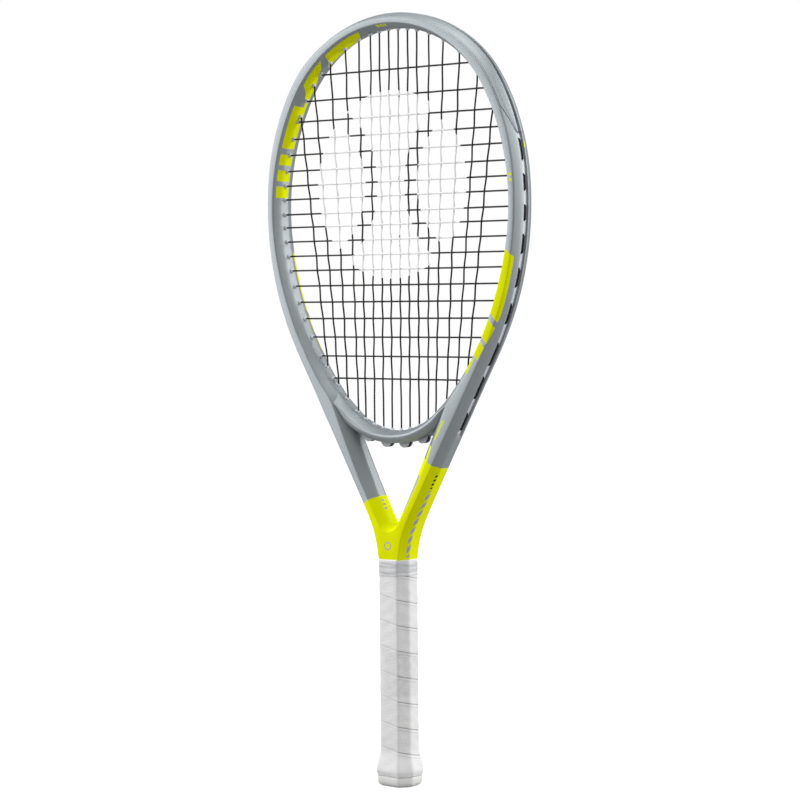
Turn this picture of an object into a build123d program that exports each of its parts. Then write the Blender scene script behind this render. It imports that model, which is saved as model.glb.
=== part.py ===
from build123d import *
import os
from math import ceil, cos, radians, sin, sqrt, tan

# Tennis racket. +Z runs from the butt to the head, +X across the face, and Y is square to the strings,
# with the front face towards -Y. The origin is the centre of the butt end. Millimetres.

# ---- frame: a tube bent into a hoop, two arms and a shaft, drawn by its outer outline
OUTLINE_TOP = 691.0                              # top of the hoop, under the bumper
OUTLINE_RADII = (142.0, 111.0, 194.5, 277.0)     # tangent arcs from the top down each side
OUTLINE_TURNS = (37.0, 58.0, 84.3, 118.8)        # heading at the end of each arc, in degrees from +X
ARM_RUN = 166.7                                  # straight run down each arm
FORK_RADIUS = 91.3                               # arc that turns each arm into the shaft
# ---- the opening inside the hoop, an egg of tangent arcs
EGG_TOP = 678.4
EGG_RADII = (120.0, 114.5, 201.0, 262.0)
EGG_TURNS = (41.6, 60.6, 97.5, 135.6)
# ---- the throat opening
FORK_POINT = 222.5                               # height where the arms' inner edges would meet
ARM_LEAN = 26.0                                  # inner edges of the arms, degrees from vertical
FORK_FILLET = 6.0
THROAT_TOP = 360.0                               # the edges run up into the bridge
BRIDGE_BOTTOM = 310.0                            # lowest edge of the bridge, at its middle
BRIDGE_RADIUS = 95.0
# ---- tube section
BEAM = 27.0                                      # front to back
SLOPE_IN = 4.4                                   # each sloped side takes this much of the tube's width
SLOPE_BACK = 9.0                                 # and this much of its depth
WALL = 1.3
CAVITY_END = 246.0                               # the tube is solid below this, where the arms join
BRIDGE_BEAM = 25.0
BRIDGE_EDGE = 3.6                                # fillet along the bridge's edges
BRIDGE_OVERRUN = 4.0                             # the bridge is cut to fit the arms from this much wider
GROOVE_DEPTH = 2.6
GROOVE_WIDTH = 6.4
GROOVE_RUN = 82.0                                # how far the groove runs down the straight of each arm
THROAT_GROOVE_DEPTH = 0.8
# ---- handle
CORE_X = 23.0                                    # the frame inside the handle
CORE_Y = 17.0
CORE_BOTTOM = 6.0
CORE_CHANNEL = 9.0                               # each leg of the frame is hollow
CORE_WEB = 2.4
CORE_SOLID = 10.0                                # but for this much at its top
PALLET_X = 15.5                                  # half sizes of the bare handle
PALLET_Y = 13.5
PALLET_BOTTOM = 3.4
SEAT_GAP = 0.05                                  # glue line between the pallets and what they sit in
GRIP_X = 17.3                                    # half sizes over the grip
GRIP_Y = 15.3
GRIP_FLAT_X = 10.0                               # half width of its front flat
GRIP_FLAT_Y = 6.0                                # half width of its side flat
GRIP_BOTTOM = 9.5
GRIP_TOP = 197.0
TAPE_BOTTOM = 191.0
TAPE_TOP = 205.0
TAPE_T = 0.5
TAPE_SINK = 0.3                                  # the stretched tape squeezes the grip by this
FLARE = 3.0                                      # the butt stands this much proud of the grip
FLARE_BOTTOM = 14.0
FLARE_TOP = 36.0
SKIRT_TOP = 32.0
# ---- strings
STRING_D = 1.3
MAIN_AT_330 = (5.2, 15.0, 25.4, 35.4, 45.5, 56.8, 66.1, 75.7)     # half spacings low on the bed
MAIN_AT_680 = (5.4, 15.9, 26.5, 40.0, 56.4, 75.1, 97.3, 118.9)    # and at the head: the mains fan out
BRIDGE_MAINS = 4                                 # mains on each side that go through the bridge
CROSS_Z = (643.5, 620.3, 601.7, 586.0, 571.4, 556.4, 542.9, 530.3, 516.5, 504.5,
           491.3, 477.7, 464.3, 450.0, 435.0, 419.8, 402.8, 385.4, 365.2)
LAYER = STRING_D / 2 + 0.01                      # mains lie this far back, crosses this far forward
LOOP_BEND = 1.3
TIP_BEND = 1.5
GROOVE_BEND = 20.0
LOOP_PIECE = 14.0                                # longest straight piece of a loop round the hoop
# ---- grommets
HOLE_R = 1.75                                    # holes through the frame
HOLE_LEAN = 3.0                                  # they lean this much more to the hoop's normal
BARREL_R = 1.7
BARREL_HOLE_R = 1.4
BARREL_PROUD = 1.2
TIP_CLEAR = 0.8                                  # a string bends this far clear of its barrel
STRIP_T = 0.8
STRIP_WIDTH = 5.8
LOOP_GAP = 0.3
LOOP_DEPTH = GROOVE_DEPTH - STRIP_T - STRING_D / 2 - LOOP_GAP
BUMPER_PROUD = 1.0
BUMPER_WIDTH = 8.8
BUMPER_SLOT = 3.8
BUMPER_END = 579.0                               # height where the bumper meets the side strips
STRIP_GAP = 0.4
SADDLE_R = 5.7                                   # half-round saddles under the bridge
SADDLE_CORE_R = 4.1
SADDLE_WIDTH = 6.2
SADDLE_SLOT = 3.8
THROAT_STRIP_HALF = 43.0
THROAT_STRIP_RISE = 12.0                         # its ends are lower than this above its middle
# ---- butt cap door
DOOR_X = 20.0
DOOR_Y = 16.0
DOOR_T = 2.0
DOOR_CORNER = 4.0
DOOR_GAP = 0.3
DOOR_LEDGE = 2.0
CAP_FLOOR = 3.2
LEG_X = 6.4
LEG_T = 1.2
LEG_WIDTH = 5.0
LEG_TOP = 9.5
# ---- staples
WIRE = 0.9
CROWN = 9.0
STAPLE_Z = 24.0
STAPLE_FACE = 14.9                               # outer face of the crown
STAPLE_POINT = 10.0                              # how near the legs reach to the handle's axis

os.makedirs("parts", exist_ok=True)


def walk(top, radii, turns, distance):
    """Point, as (x, z), and outward normal at a distance along tangent arcs and then straight on."""
    point = Vector(0, top)
    turned = 0.0
    left = distance
    for radius, turn in zip(radii, turns):
        step = min(left, radius * radians(turn - turned))
        begin = radians(turned)
        end = begin + step / radius
        point += Vector(sin(end) - sin(begin), cos(end) - cos(begin)) * radius
        left -= step
        if left <= 0:
            return point, Vector(sin(end), cos(end))
        turned = turn
    end = radians(turned)
    return point + Vector(cos(end), -sin(end)) * left, Vector(sin(end), cos(end))


def path_length(radii, turns):
    """Length of the arcs alone."""
    starts = (0.0,) + turns[:-1]
    return sum(radius * radians(turn - start) for radius, start, turn in zip(radii, starts, turns))


def outline_at(distance, depth=0.0):
    """Point and normal along the frame's outline, a depth inside it."""
    return walk(OUTLINE_TOP - depth, [radius - depth for radius in OUTLINE_RADII], OUTLINE_TURNS, distance)


def loop_at(distance):
    """Point and normal where the strings lie in the groove."""
    return outline_at(distance, LOOP_DEPTH)


EGG_LOW = walk(EGG_TOP, EGG_RADII, EGG_TURNS, path_length(EGG_RADII, EGG_TURNS))[0]
EGG_LAST = EGG_LOW.X / sin(radians(EGG_TURNS[-1]))


def egg_at(distance):
    """Point and normal along the right half of the opening inside the hoop."""
    return walk(EGG_TOP, EGG_RADII + (EGG_LAST,), EGG_TURNS + (180.0,), distance)


OUTLINE_LENGTH = path_length(OUTLINE_RADII, OUTLINE_TURNS) + ARM_RUN
EGG_LENGTH = path_length(EGG_RADII + (EGG_LAST,), EGG_TURNS + (180.0,))


def meet(path, length, origin, heading):
    """Distance along a path to where a ray from a point inside it comes out, on the right half."""
    pieces = 900
    before = None
    for i in range(pieces + 1):
        toward = path(length * i / pieces)[0] - origin
        side = toward.X * heading.Y - toward.Y * heading.X
        ahead = toward.dot(heading) > 0
        if ahead and before is not None and side * before <= 0:
            return length * (i - side / (side - before)) / pieces
        before = side if ahead else None
    raise ValueError("the ray misses the path")


def port(origin, heading, kind="blend"):
    """Where a string goes through the hoop: its wall point, its direction there and its exit distance.

    A blend lies between the string and the hoop's normal, a square hole is square to the arm, and a
    straight one has no bend.
    """
    wall = egg_at(meet(egg_at, EGG_LENGTH, origin, heading))[0]
    if kind == "straight":
        return wall, heading, None
    if kind == "square":
        direction = loop_at(OUTLINE_LENGTH)[1]
    else:
        normal = loop_at(meet(loop_at, OUTLINE_LENGTH, origin, heading))[1]
        bent = heading.get_angle(normal) > 8
        direction = (heading + normal * HOLE_LEAN).normalized() if bent else heading
    return wall, direction, meet(loop_at, OUTLINE_LENGTH, wall, direction)


def main_line(i):
    """A point on a main string and its heading towards the head."""
    low = Vector(MAIN_AT_330[i], 330)
    return low + (Vector(MAIN_AT_680[i], 680) - low) * 0.5, (Vector(MAIN_AT_680[i], 680) - low).normalized()


def mirrored(corners):
    """The same corners on the other side of the racket."""
    return [(Vector(-point.X, point.Y), bend) for point, bend in corners]


def tip_of(hole):
    """Where a string leaves a grommet inside the hoop."""
    return hole[0] - hole[1] * (BARREL_PROUD + TIP_CLEAR)


MAINS = range(len(MAIN_AT_330))
HEAD_PORTS = [port(main_line(i)[0], main_line(i)[1]) for i in MAINS]
THROAT_PORTS = [port(main_line(i)[0], main_line(i)[1] * -1, "straight" if i < BRIDGE_MAINS else "square")
                for i in MAINS]
SIDE_PORTS = [port(Vector(0, z), Vector(1, 0)) for z in CROSS_Z]


def bridge_edge(x):
    """Height of the bridge's lower edge."""
    return BRIDGE_BOTTOM + BRIDGE_RADIUS - sqrt(BRIDGE_RADIUS**2 - x**2)


def main_at(i, z):
    """Half spacing of a main string at a height."""
    return MAIN_AT_330[i] + (MAIN_AT_680[i] - MAIN_AT_330[i]) * (z - 330) / 350


def saddle_centre(i):
    """Centre of the saddle that turns mains i and i + 1."""
    x = (MAIN_AT_330[i] + MAIN_AT_330[i + 1]) / 2
    return Vector(x, bridge_edge(x))


def run_round(start, finish):
    """Corners of a loop along the groove, from one exit distance to another."""
    pieces = max(1, ceil(abs(finish - start) / LOOP_PIECE))
    if loop_at(start)[1].get_angle(loop_at(finish)[1]) < 3:
        pieces = 1
    corners = [(loop_at(start)[0], LOOP_BEND)]
    corners += [(loop_at(start + (finish - start) * i / pieces)[0], GROOVE_BEND) for i in range(1, pieces)]
    return corners + [(loop_at(finish)[0], LOOP_BEND)]


def through(hole, heading):
    """The corner inside the hoop, where the hole isn't in line with the string."""
    if hole[1].get_angle(heading) < 1:
        return []
    return [(tip_of(hole), TIP_BEND)]


def string_path(corners, y):
    """A string's centre line, drawn through corners with their bend radii."""
    points = [(point.X, y, point.Y) for point, bend in corners]
    return FilletPolyline(*points, radius=[bend for point, bend in corners[1:-1]])


def main_corners():
    """Corners of the main string's right half, from the middle of the head to its tied end."""
    corners = []
    for i in MAINS:
        up = main_line(i)[1]
        head = through(HEAD_PORTS[i], up)
        throat = through(THROAT_PORTS[i], up * -1)
        if i % 2 == 0:
            corners += [(loop_at(HEAD_PORTS[i][2])[0], LOOP_BEND)] if i == 0 else []
            corners += head + throat
            if i < BRIDGE_MAINS:
                turn = (MAIN_AT_330[i + 1] - MAIN_AT_330[i]) / 2
                low = saddle_centre(i).Y - turn
                corners += [(Vector(main_at(j, low), low), turn * 0.98) for j in (i, i + 1)]
            else:
                corners += run_round(THROAT_PORTS[i][2], THROAT_PORTS[i + 1][2])
        else:
            corners += throat + head
            after = HEAD_PORTS[i + 1][2] if i + 1 < len(MAIN_AT_330) else SIDE_PORTS[2][2]
            corners += run_round(HEAD_PORTS[i][2], after)
    return corners


def cross_corners():
    """Corners of the cross string, from its tied end at the top left to the one at the lower right."""
    corners = []
    for k, hole in enumerate(SIDE_PORTS):
        side = through(hole, Vector(1, 0))
        enter = mirrored(side)
        leave = side
        after = SIDE_PORTS[k + 1][2] if k + 1 < len(SIDE_PORTS) else THROAT_PORTS[6][2]
        loop = run_round(hole[2], after)
        if k % 2 == 1:
            enter, leave = leave, enter
            loop = mirrored(loop)
        corners += enter + leave + loop
    tail = run_round(HEAD_PORTS[6][2], SIDE_PORTS[0][2])
    return mirrored(tail) + corners


def hole_plane(hole, sign, back):
    """A plane on a hole's axis, a distance back from the hoop's inner wall, facing outwards."""
    point = hole[0] - hole[1] * back
    return Plane(origin=(sign * point.X, 0, point.Y), z_dir=(sign * hole[1].X, 0, hole[1].Y))


def drill(holes, radius, length, back):
    """Bore the same holes on both sides of the racket out of the current part."""
    planes = [hole_plane(hole, sign, back) for hole in holes for sign in (1, -1)]
    with Locations(*planes):
        Cylinder(radius, length, align=(Align.CENTER, Align.CENTER, Align.MIN), mode=Mode.SUBTRACT)


def barrels(holes, signs):
    """Grommet barrels from the strip in the groove to just inside the hoop."""
    for hole in holes:
        reach = (loop_at(hole[2])[0] - hole[0]).length
        length = reach - (GROOVE_DEPTH - LOOP_DEPTH) + BARREL_PROUD
        for sign in signs:
            with Locations(hole_plane(hole, sign, BARREL_PROUD)):
                Cylinder(BARREL_R, length, align=(Align.CENTER, Align.CENTER, Align.MIN))


def bore_barrels(holes):
    """The strings' way through the barrels."""
    drill(holes, BARREL_HOLE_R, 40, BARREL_PROUD + 2)


def half_outline(depth, run=ARM_RUN):
    """Arcs and the straight of the outline's right half, in the current line; returns its end."""
    start = (0, OUTLINE_TOP - depth)
    heading = (1, 0)
    turned = 0.0
    for radius, turn in zip(OUTLINE_RADII, OUTLINE_TURNS):
        arc = JernArc(start, heading, radius - depth, turned - turn)
        start = arc @ 1
        heading = arc % 1
        turned = turn
    arm = Line(start, start + heading * run)
    return arm @ 1, heading


def outline_face(depth):
    """The frame's whole outline, filled, down to the end of the shaft."""
    with BuildSketch() as face:
        with BuildLine():
            end, heading = half_outline(depth)
            fork = JernArc(end, heading, FORK_RADIUS + depth, OUTLINE_TURNS[-1] - 90)
            Line(fork @ 1, (0, (fork @ 1).Y))
            mirror(about=Plane.YZ)
        make_face()
    return face.sketch


def band_face(depth_out, depth_in, run):
    """A band between two depths inside the outline, down both sides to a run along the arms."""
    with BuildSketch() as face:
        with BuildLine():
            outer = half_outline(depth_out, run)[0]
            inner = half_outline(depth_in, run)[0]
            Line(outer, inner)
            mirror(about=Plane.YZ)
        make_face()
    return face.sketch


def egg_face(grow=0.0):
    """The opening inside the hoop, grown outwards."""
    with BuildSketch() as face:
        with BuildLine():
            start = (0, EGG_TOP + grow)
            heading = (1, 0)
            turned = 0.0
            for radius, turn in zip(EGG_RADII + (EGG_LAST,), EGG_TURNS + (180.0,)):
                arc = JernArc(start, heading, radius + grow, turned - turn)
                start = arc @ 1
                heading = arc % 1
                turned = turn
            mirror(about=Plane.YZ)
        make_face()
    return face.sketch


def throat_face(grow=0.0):
    """The opening between the arms, grown outwards, up into the bridge."""
    foot = FORK_POINT - grow / sin(radians(ARM_LEAN))
    half = (THROAT_TOP - foot) * tan(radians(ARM_LEAN))
    with BuildSketch() as face:
        with BuildLine():
            FilletPolyline((-half, THROAT_TOP), (0, foot), (half, THROAT_TOP), radius=[FORK_FILLET + grow])
            Line((-half, THROAT_TOP), (half, THROAT_TOP))
        make_face()
    return face.sketch


def slope_sides(part, slope_in, slope_back, floor):
    """Cut the sloped sides along the front and back edges of a flat blank, above a height."""
    for side in (0, -1):
        face = part.faces().sort_by(Axis.Y)[side]
        edges = [edge for edge in face.edges() if edge.bounding_box().max.Z > floor]
        chamfer(edges, length=slope_in, length2=slope_back, reference=face)


def octagon(half_x, half_y):
    """The handle's section, in the current sketch."""
    flat_x = half_x * GRIP_FLAT_X / GRIP_X
    flat_y = half_y * GRIP_FLAT_Y / GRIP_Y
    corners = [(half_x, flat_y), (flat_x, half_y), (-flat_x, half_y), (-half_x, flat_y)]
    Polygon(*corners, *[(-x, -y) for x, y in corners], align=None)


def octagon_loft(*sections):
    """A loft of handle sections, each given as height, half X and half Y."""
    with BuildPart() as solid:
        for z, half_x, half_y in sections:
            with BuildSketch(Plane.XY.offset(z)):
                octagon(half_x, half_y)
        loft(ruled=True)
    return solid.part


def keep(piece, name):
    """Label a finished sub-part and write its file."""
    piece.part.label = name
    export_step(piece.part, "parts/" + name + ".step")


# ---- the frame's outer shape, before it is hollowed and drilled
with BuildPart() as blank:
    with BuildSketch(Plane.XZ):
        add(outline_face(0))
        add(egg_face(), mode=Mode.SUBTRACT)
        add(throat_face(), mode=Mode.SUBTRACT)
    extrude(amount=BEAM / 2, both=True)
    SHAFT_BOTTOM = blank.part.bounding_box().min.Z
    slope_sides(blank, SLOPE_IN, SLOPE_BACK, SHAFT_BOTTOM + 1)

# ---- the hollow inside the hoop and arms
with BuildPart() as cavity:
    with BuildSketch(Plane.XZ):
        add(outline_face(GROOVE_DEPTH + WALL))
        add(egg_face(WALL), mode=Mode.SUBTRACT)
        add(throat_face(WALL), mode=Mode.SUBTRACT)
    extrude(amount=BEAM / 2 - WALL, both=True)
    split(bisect_by=Plane.XY.offset(CAVITY_END), keep=Keep.TOP)
    slope_sides(cavity, SLOPE_IN - WALL, SLOPE_BACK - WALL, CAVITY_END + 1)

ALL_PORTS = HEAD_PORTS + THROAT_PORTS + SIDE_PORTS

with BuildPart() as frame:
    add(blank.part)
    add(cavity.part, mode=Mode.SUBTRACT)
    with BuildSketch(Plane.XZ):
        add(band_face(-2.0, GROOVE_DEPTH, GROOVE_RUN))
    extrude(amount=GROOVE_WIDTH / 2, both=True, mode=Mode.SUBTRACT)
    with BuildSketch(Plane.XY.offset(CORE_BOTTOM)):
        Rectangle(CORE_X, CORE_Y)
    extrude(amount=SHAFT_BOTTOM - CORE_BOTTOM)
    with BuildSketch(Plane.XY.offset(CORE_BOTTOM)):
        with GridLocations(CORE_CHANNEL + CORE_WEB, 0, 2, 1):
            Rectangle(CORE_CHANNEL, CORE_Y - CORE_WEB)
    extrude(amount=SHAFT_BOTTOM - CORE_BOTTOM - CORE_SOLID, mode=Mode.SUBTRACT)
    drill(ALL_PORTS, HOLE_R, 50, 6)
keep(frame, "frame")


def bridge_disc(radius):
    """A disc inside the bridge's lower edge, or the edge itself at the full radius."""
    with BuildSketch() as face:
        with Locations((0, BRIDGE_BOTTOM + BRIDGE_RADIUS)):
            Circle(radius)
    return face.sketch


# ---- the bridge closes the hoop across the throat and is bonded between the arms
with BuildPart() as bridge_blank:
    with BuildSketch(Plane.XZ):
        add(throat_face(BRIDGE_OVERRUN))
        add(bridge_disc(BRIDGE_RADIUS), mode=Mode.INTERSECT)
        add(egg_face(), mode=Mode.SUBTRACT)
    extrude(amount=BRIDGE_BEAM / 2, both=True)
    across = bridge_blank.edges().filter_by(GeomType.CIRCLE)
    long_edges = across.filter_by(lambda edge: edge.length > BRIDGE_BEAM)
    fillet(long_edges, radius=BRIDGE_EDGE)

with BuildPart() as throat_bridge:
    add(bridge_blank.part)
    add(blank.part, mode=Mode.SUBTRACT)
    with BuildSketch(Plane.XZ):
        add(bridge_disc(BRIDGE_RADIUS + 1))
        add(bridge_disc(BRIDGE_RADIUS - THROAT_GROOVE_DEPTH), mode=Mode.SUBTRACT)
        with Locations((0, BRIDGE_BOTTOM)):
            Rectangle(2 * THROAT_STRIP_HALF, 2 * THROAT_STRIP_RISE, mode=Mode.INTERSECT)
    extrude(amount=GROOVE_WIDTH / 2, both=True, mode=Mode.SUBTRACT)
    drill(ALL_PORTS, HOLE_R, 50, 6)
keep(throat_bridge, "throat_bridge")

# ---- bumper guard: a strip in the groove with the head's grommets, and a flange over the hoop's edge
HEAD_HOLES = HEAD_PORTS + [hole for hole in SIDE_PORTS if hole[0].Y > BUMPER_END]
SIDE_HOLES = [hole for hole in SIDE_PORTS if hole[0].Y < BUMPER_END] + THROAT_PORTS[BRIDGE_MAINS:]

with BuildPart() as head_bumper:
    with BuildSketch(Plane.XZ):
        add(band_face(GROOVE_DEPTH - STRIP_T, GROOVE_DEPTH, 1))
    extrude(amount=STRIP_WIDTH / 2, both=True)
    with BuildSketch(Plane.XZ):
        add(band_face(0, GROOVE_DEPTH - STRIP_T, 1))
    extrude(amount=STRIP_WIDTH / 2, both=True)
    with BuildSketch(Plane.XZ):
        add(band_face(-BUMPER_PROUD, 0, 1))
    extrude(amount=BUMPER_WIDTH / 2, both=True)
    with BuildSketch(Plane.XZ):
        add(band_face(-BUMPER_PROUD - 1, GROOVE_DEPTH - STRIP_T, 1))
    extrude(amount=BUMPER_SLOT / 2, both=True, mode=Mode.SUBTRACT)
    split(bisect_by=Plane.XY.offset(BUMPER_END + STRIP_GAP / 2), keep=Keep.TOP)
    barrels(HEAD_HOLES, (1, -1))
    bore_barrels(HEAD_HOLES)
keep(head_bumper, "head_bumper")

# ---- side grommet strips, right and left
for side, name in ((1, "side_grommets_right"), (-1, "side_grommets_left")):
    with BuildPart() as side_grommets:
        with BuildSketch(Plane.XZ):
            add(band_face(GROOVE_DEPTH - STRIP_T, GROOVE_DEPTH, GROOVE_RUN - 1))
        extrude(amount=STRIP_WIDTH / 2, both=True)
        split(bisect_by=Plane.XY.offset(BUMPER_END - STRIP_GAP / 2), keep=Keep.BOTTOM)
        split(bisect_by=Plane.YZ, keep=Keep.TOP if side > 0 else Keep.BOTTOM)
        barrels(SIDE_HOLES, (side,))
        bore_barrels(SIDE_HOLES)
    keep(side_grommets, name)

# ---- throat grommet strip, with a half-round saddle for each pair of mains
BRIDGE_HOLES = THROAT_PORTS[:BRIDGE_MAINS]
SADDLES = [(sign * saddle_centre(i).X, saddle_centre(i).Y)
           for i in range(0, BRIDGE_MAINS, 2) for sign in (1, -1)]

with BuildPart() as throat_grommets:
    with BuildSketch(Plane.XZ):
        with Locations(*SADDLES):
            Circle(SADDLE_R)
    extrude(amount=SADDLE_WIDTH / 2, both=True)
    with BuildSketch(Plane.XZ):
        with Locations(*SADDLES):
            Circle(SADDLE_R + 1)
            Circle(SADDLE_CORE_R, mode=Mode.SUBTRACT)
    extrude(amount=SADDLE_SLOT / 2, both=True, mode=Mode.SUBTRACT)
    with BuildSketch(Plane.XZ):
        add(bridge_disc(BRIDGE_RADIUS - THROAT_GROOVE_DEPTH))
    extrude(amount=SADDLE_WIDTH, both=True, mode=Mode.SUBTRACT)
    with BuildSketch(Plane.XZ):
        add(bridge_disc(BRIDGE_RADIUS))
        add(bridge_disc(BRIDGE_RADIUS - THROAT_GROOVE_DEPTH), mode=Mode.SUBTRACT)
        with Locations((0, BRIDGE_BOTTOM)):
            Rectangle(2 * THROAT_STRIP_HALF - 1, 2 * THROAT_STRIP_RISE, mode=Mode.INTERSECT)
    extrude(amount=STRIP_WIDTH / 2, both=True)
    for hole in BRIDGE_HOLES:
        length = hole[0].Y - bridge_edge(hole[0].X) + BARREL_PROUD - STRIP_T / 4
        for sign in (1, -1):
            with Locations(hole_plane(hole, sign, BARREL_PROUD)):
                Cylinder(BARREL_R, length, align=(Align.CENTER, Align.CENTER, Align.MIN))
    bore_barrels(BRIDGE_HOLES)
keep(throat_grommets, "throat_grommets")

# ---- strings: one piece for the mains and one for the crosses
right_half = main_corners()
left_half = mirrored(reversed(right_half))
STRINGS = (("main_string", left_half + right_half, LAYER), ("cross_string", cross_corners(), -LAYER))
for name, corners, y in STRINGS:
    with BuildPart() as string:
        with BuildLine() as route:
            centre_line = string_path(corners, y)
        with BuildSketch(Plane(origin=centre_line @ 0, z_dir=centre_line % 0)):
            Circle(STRING_D / 2)
        sweep()
    print(name, "is", round(centre_line.length), "mm long and holds", round(string.part.volume), "mm3")
    keep(string, name)

# ---- butt cap: a flared cup over the end of the handle, with a doorway in its floor
CAP_RIM = octagon_loft((0, GRIP_X - 1.0, GRIP_Y - 1.0), (2.5, GRIP_X + FLARE - 1.0, GRIP_Y + FLARE - 1.0),
                       (8, GRIP_X + FLARE, GRIP_Y + FLARE), (GRIP_BOTTOM, GRIP_X + FLARE, GRIP_Y + FLARE))
CAP_SKIRT = octagon_loft((GRIP_BOTTOM, GRIP_X + FLARE - 1.9, GRIP_Y + FLARE - 1.9),
                         (SKIRT_TOP, PALLET_X + 0.7, PALLET_Y + 0.7))
CAP_CUP = octagon_loft((CAP_FLOOR, PALLET_X + SEAT_GAP, PALLET_Y + SEAT_GAP),
                       (SKIRT_TOP + 1, PALLET_X + SEAT_GAP, PALLET_Y + SEAT_GAP))
HANDLE = octagon_loft((PALLET_BOTTOM, PALLET_X, PALLET_Y), (SHAFT_BOTTOM - SEAT_GAP, PALLET_X, PALLET_Y))

with BuildPart() as staples:
    for turn in (0, 180):
        with Locations(Location((0, 0, STAPLE_Z), (0, 0, turn))):
            with Locations((0, -STAPLE_FACE + WIRE / 2, 0)):
                Box(CROWN, WIRE, WIRE)
            with Locations(*[(x, -(STAPLE_FACE + STAPLE_POINT) / 2, 0)
                             for x in ((CROWN - WIRE) / 2, (WIRE - CROWN) / 2)]):
                Box(WIRE, STAPLE_FACE - STAPLE_POINT, WIRE)
keep(staples, "butt_cap_staples")

with BuildPart() as butt_cap:
    add(CAP_RIM)
    add(CAP_SKIRT)
    add(CAP_CUP, mode=Mode.SUBTRACT)
    with BuildSketch(Plane.XY):
        RectangleRounded(DOOR_X + 2 * DOOR_GAP, DOOR_Y + 2 * DOOR_GAP, DOOR_CORNER + DOOR_GAP)
    extrude(amount=DOOR_T, mode=Mode.SUBTRACT)
    with BuildSketch(Plane.XY):
        RectangleRounded(DOOR_X - 2 * DOOR_LEDGE, DOOR_Y - 2 * DOOR_LEDGE, DOOR_CORNER - DOOR_LEDGE)
    extrude(amount=CAP_FLOOR, mode=Mode.SUBTRACT)
    add(staples.part, mode=Mode.SUBTRACT)
keep(butt_cap, "butt_cap")

# ---- the door lifts out of the butt on two clip legs
with BuildPart() as butt_cap_door:
    with BuildSketch(Plane.XY):
        RectangleRounded(DOOR_X, DOOR_Y, DOOR_CORNER)
    extrude(amount=DOOR_T - SEAT_GAP)
    with BuildSketch(Plane.XY.offset(DOOR_T - SEAT_GAP)):
        with GridLocations(2 * LEG_X, 0, 2, 1):
            Rectangle(LEG_T, LEG_WIDTH)
    extrude(amount=LEG_TOP - DOOR_T)
keep(butt_cap_door, "butt_cap_door")

# ---- handle pallets: two half shells round the frame's core
for keep_side, name in ((Keep.BOTTOM, "pallet_back"), (Keep.TOP, "pallet_front")):
    with BuildPart() as pallet:
        add(HANDLE)
        with BuildSketch(Plane.XY):
            Rectangle(CORE_X + 2 * SEAT_GAP, CORE_Y + 2 * SEAT_GAP)
        extrude(amount=SHAFT_BOTTOM, mode=Mode.SUBTRACT)
        split(bisect_by=Plane.XZ, keep=keep_side)
        add(staples.part, mode=Mode.SUBTRACT)
    keep(pallet, name)

# ---- grip, wound from the butt up, and the finishing tape that holds its end
NECK_X = GRIP_X - TAPE_SINK
NECK_Y = GRIP_Y - TAPE_SINK
GRIP_OUTSIDE = octagon_loft((GRIP_BOTTOM, GRIP_X + FLARE, GRIP_Y + FLARE),
                            (FLARE_BOTTOM, GRIP_X + FLARE, GRIP_Y + FLARE),
                            (FLARE_TOP, GRIP_X, GRIP_Y), (TAPE_BOTTOM, GRIP_X, GRIP_Y),
                            (TAPE_BOTTOM + 0.2, NECK_X, NECK_Y), (GRIP_TOP, NECK_X, NECK_Y))
TAPE_OUTSIDE = octagon_loft((TAPE_BOTTOM + 0.2, NECK_X + TAPE_T, NECK_Y + TAPE_T),
                            (TAPE_TOP, NECK_X + TAPE_T, NECK_Y + TAPE_T))

with BuildPart() as grip_wrap:
    add(GRIP_OUTSIDE)
    add(CAP_SKIRT, mode=Mode.SUBTRACT)
    with BuildSketch(Plane.XY):
        octagon(PALLET_X + SEAT_GAP, PALLET_Y + SEAT_GAP)
    extrude(amount=SHAFT_BOTTOM, mode=Mode.SUBTRACT)
keep(grip_wrap, "grip_wrap")

with BuildPart() as finishing_tape:
    add(TAPE_OUTSIDE)
    add(blank.part, mode=Mode.SUBTRACT)
    with BuildSketch(Plane.XY):
        octagon(NECK_X, NECK_Y)
    extrude(amount=SHAFT_BOTTOM, mode=Mode.SUBTRACT)
keep(finishing_tape, "finishing_tape")
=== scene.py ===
"""Looks of the tennis racket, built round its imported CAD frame.

Lengths are millimetres, apart from the camera's, the lights' and the floor's, which are metres.
"""
from functools import partialmethod

import bmesh
import bpy
import numpy as np
from math import ceil, cos, degrees, pi, radians, sin, sqrt, tan
from mathutils import Matrix, Vector


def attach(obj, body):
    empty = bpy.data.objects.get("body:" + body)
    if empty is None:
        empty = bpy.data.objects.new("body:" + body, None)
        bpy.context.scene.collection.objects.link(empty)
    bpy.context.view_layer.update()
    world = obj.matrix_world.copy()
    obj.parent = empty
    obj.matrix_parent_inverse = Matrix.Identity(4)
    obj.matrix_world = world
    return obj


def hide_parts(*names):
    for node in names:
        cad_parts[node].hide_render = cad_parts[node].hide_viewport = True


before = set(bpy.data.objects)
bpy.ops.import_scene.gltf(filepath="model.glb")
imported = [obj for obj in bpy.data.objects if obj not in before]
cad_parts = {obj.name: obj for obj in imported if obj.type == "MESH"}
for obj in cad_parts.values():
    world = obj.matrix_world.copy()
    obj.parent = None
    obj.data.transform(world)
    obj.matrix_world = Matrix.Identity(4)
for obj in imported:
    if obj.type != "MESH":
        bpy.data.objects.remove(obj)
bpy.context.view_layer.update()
MM = 0.001
WELD = 0.01

# ---- camera
CAMERA_AZIMUTH = 0.663225  # radians from the front, like the pan, pitch and roll
CAMERA_DISTANCE = 2.0839
CAMERA_HEIGHT = 0.4365
CAMERA_PAN = -0.001424
CAMERA_PITCH = -0.042856
CAMERA_ROLL = -0.0091246
CAMERA_LENS = 104.66
CAMERA_SENSOR = 36.0


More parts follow.
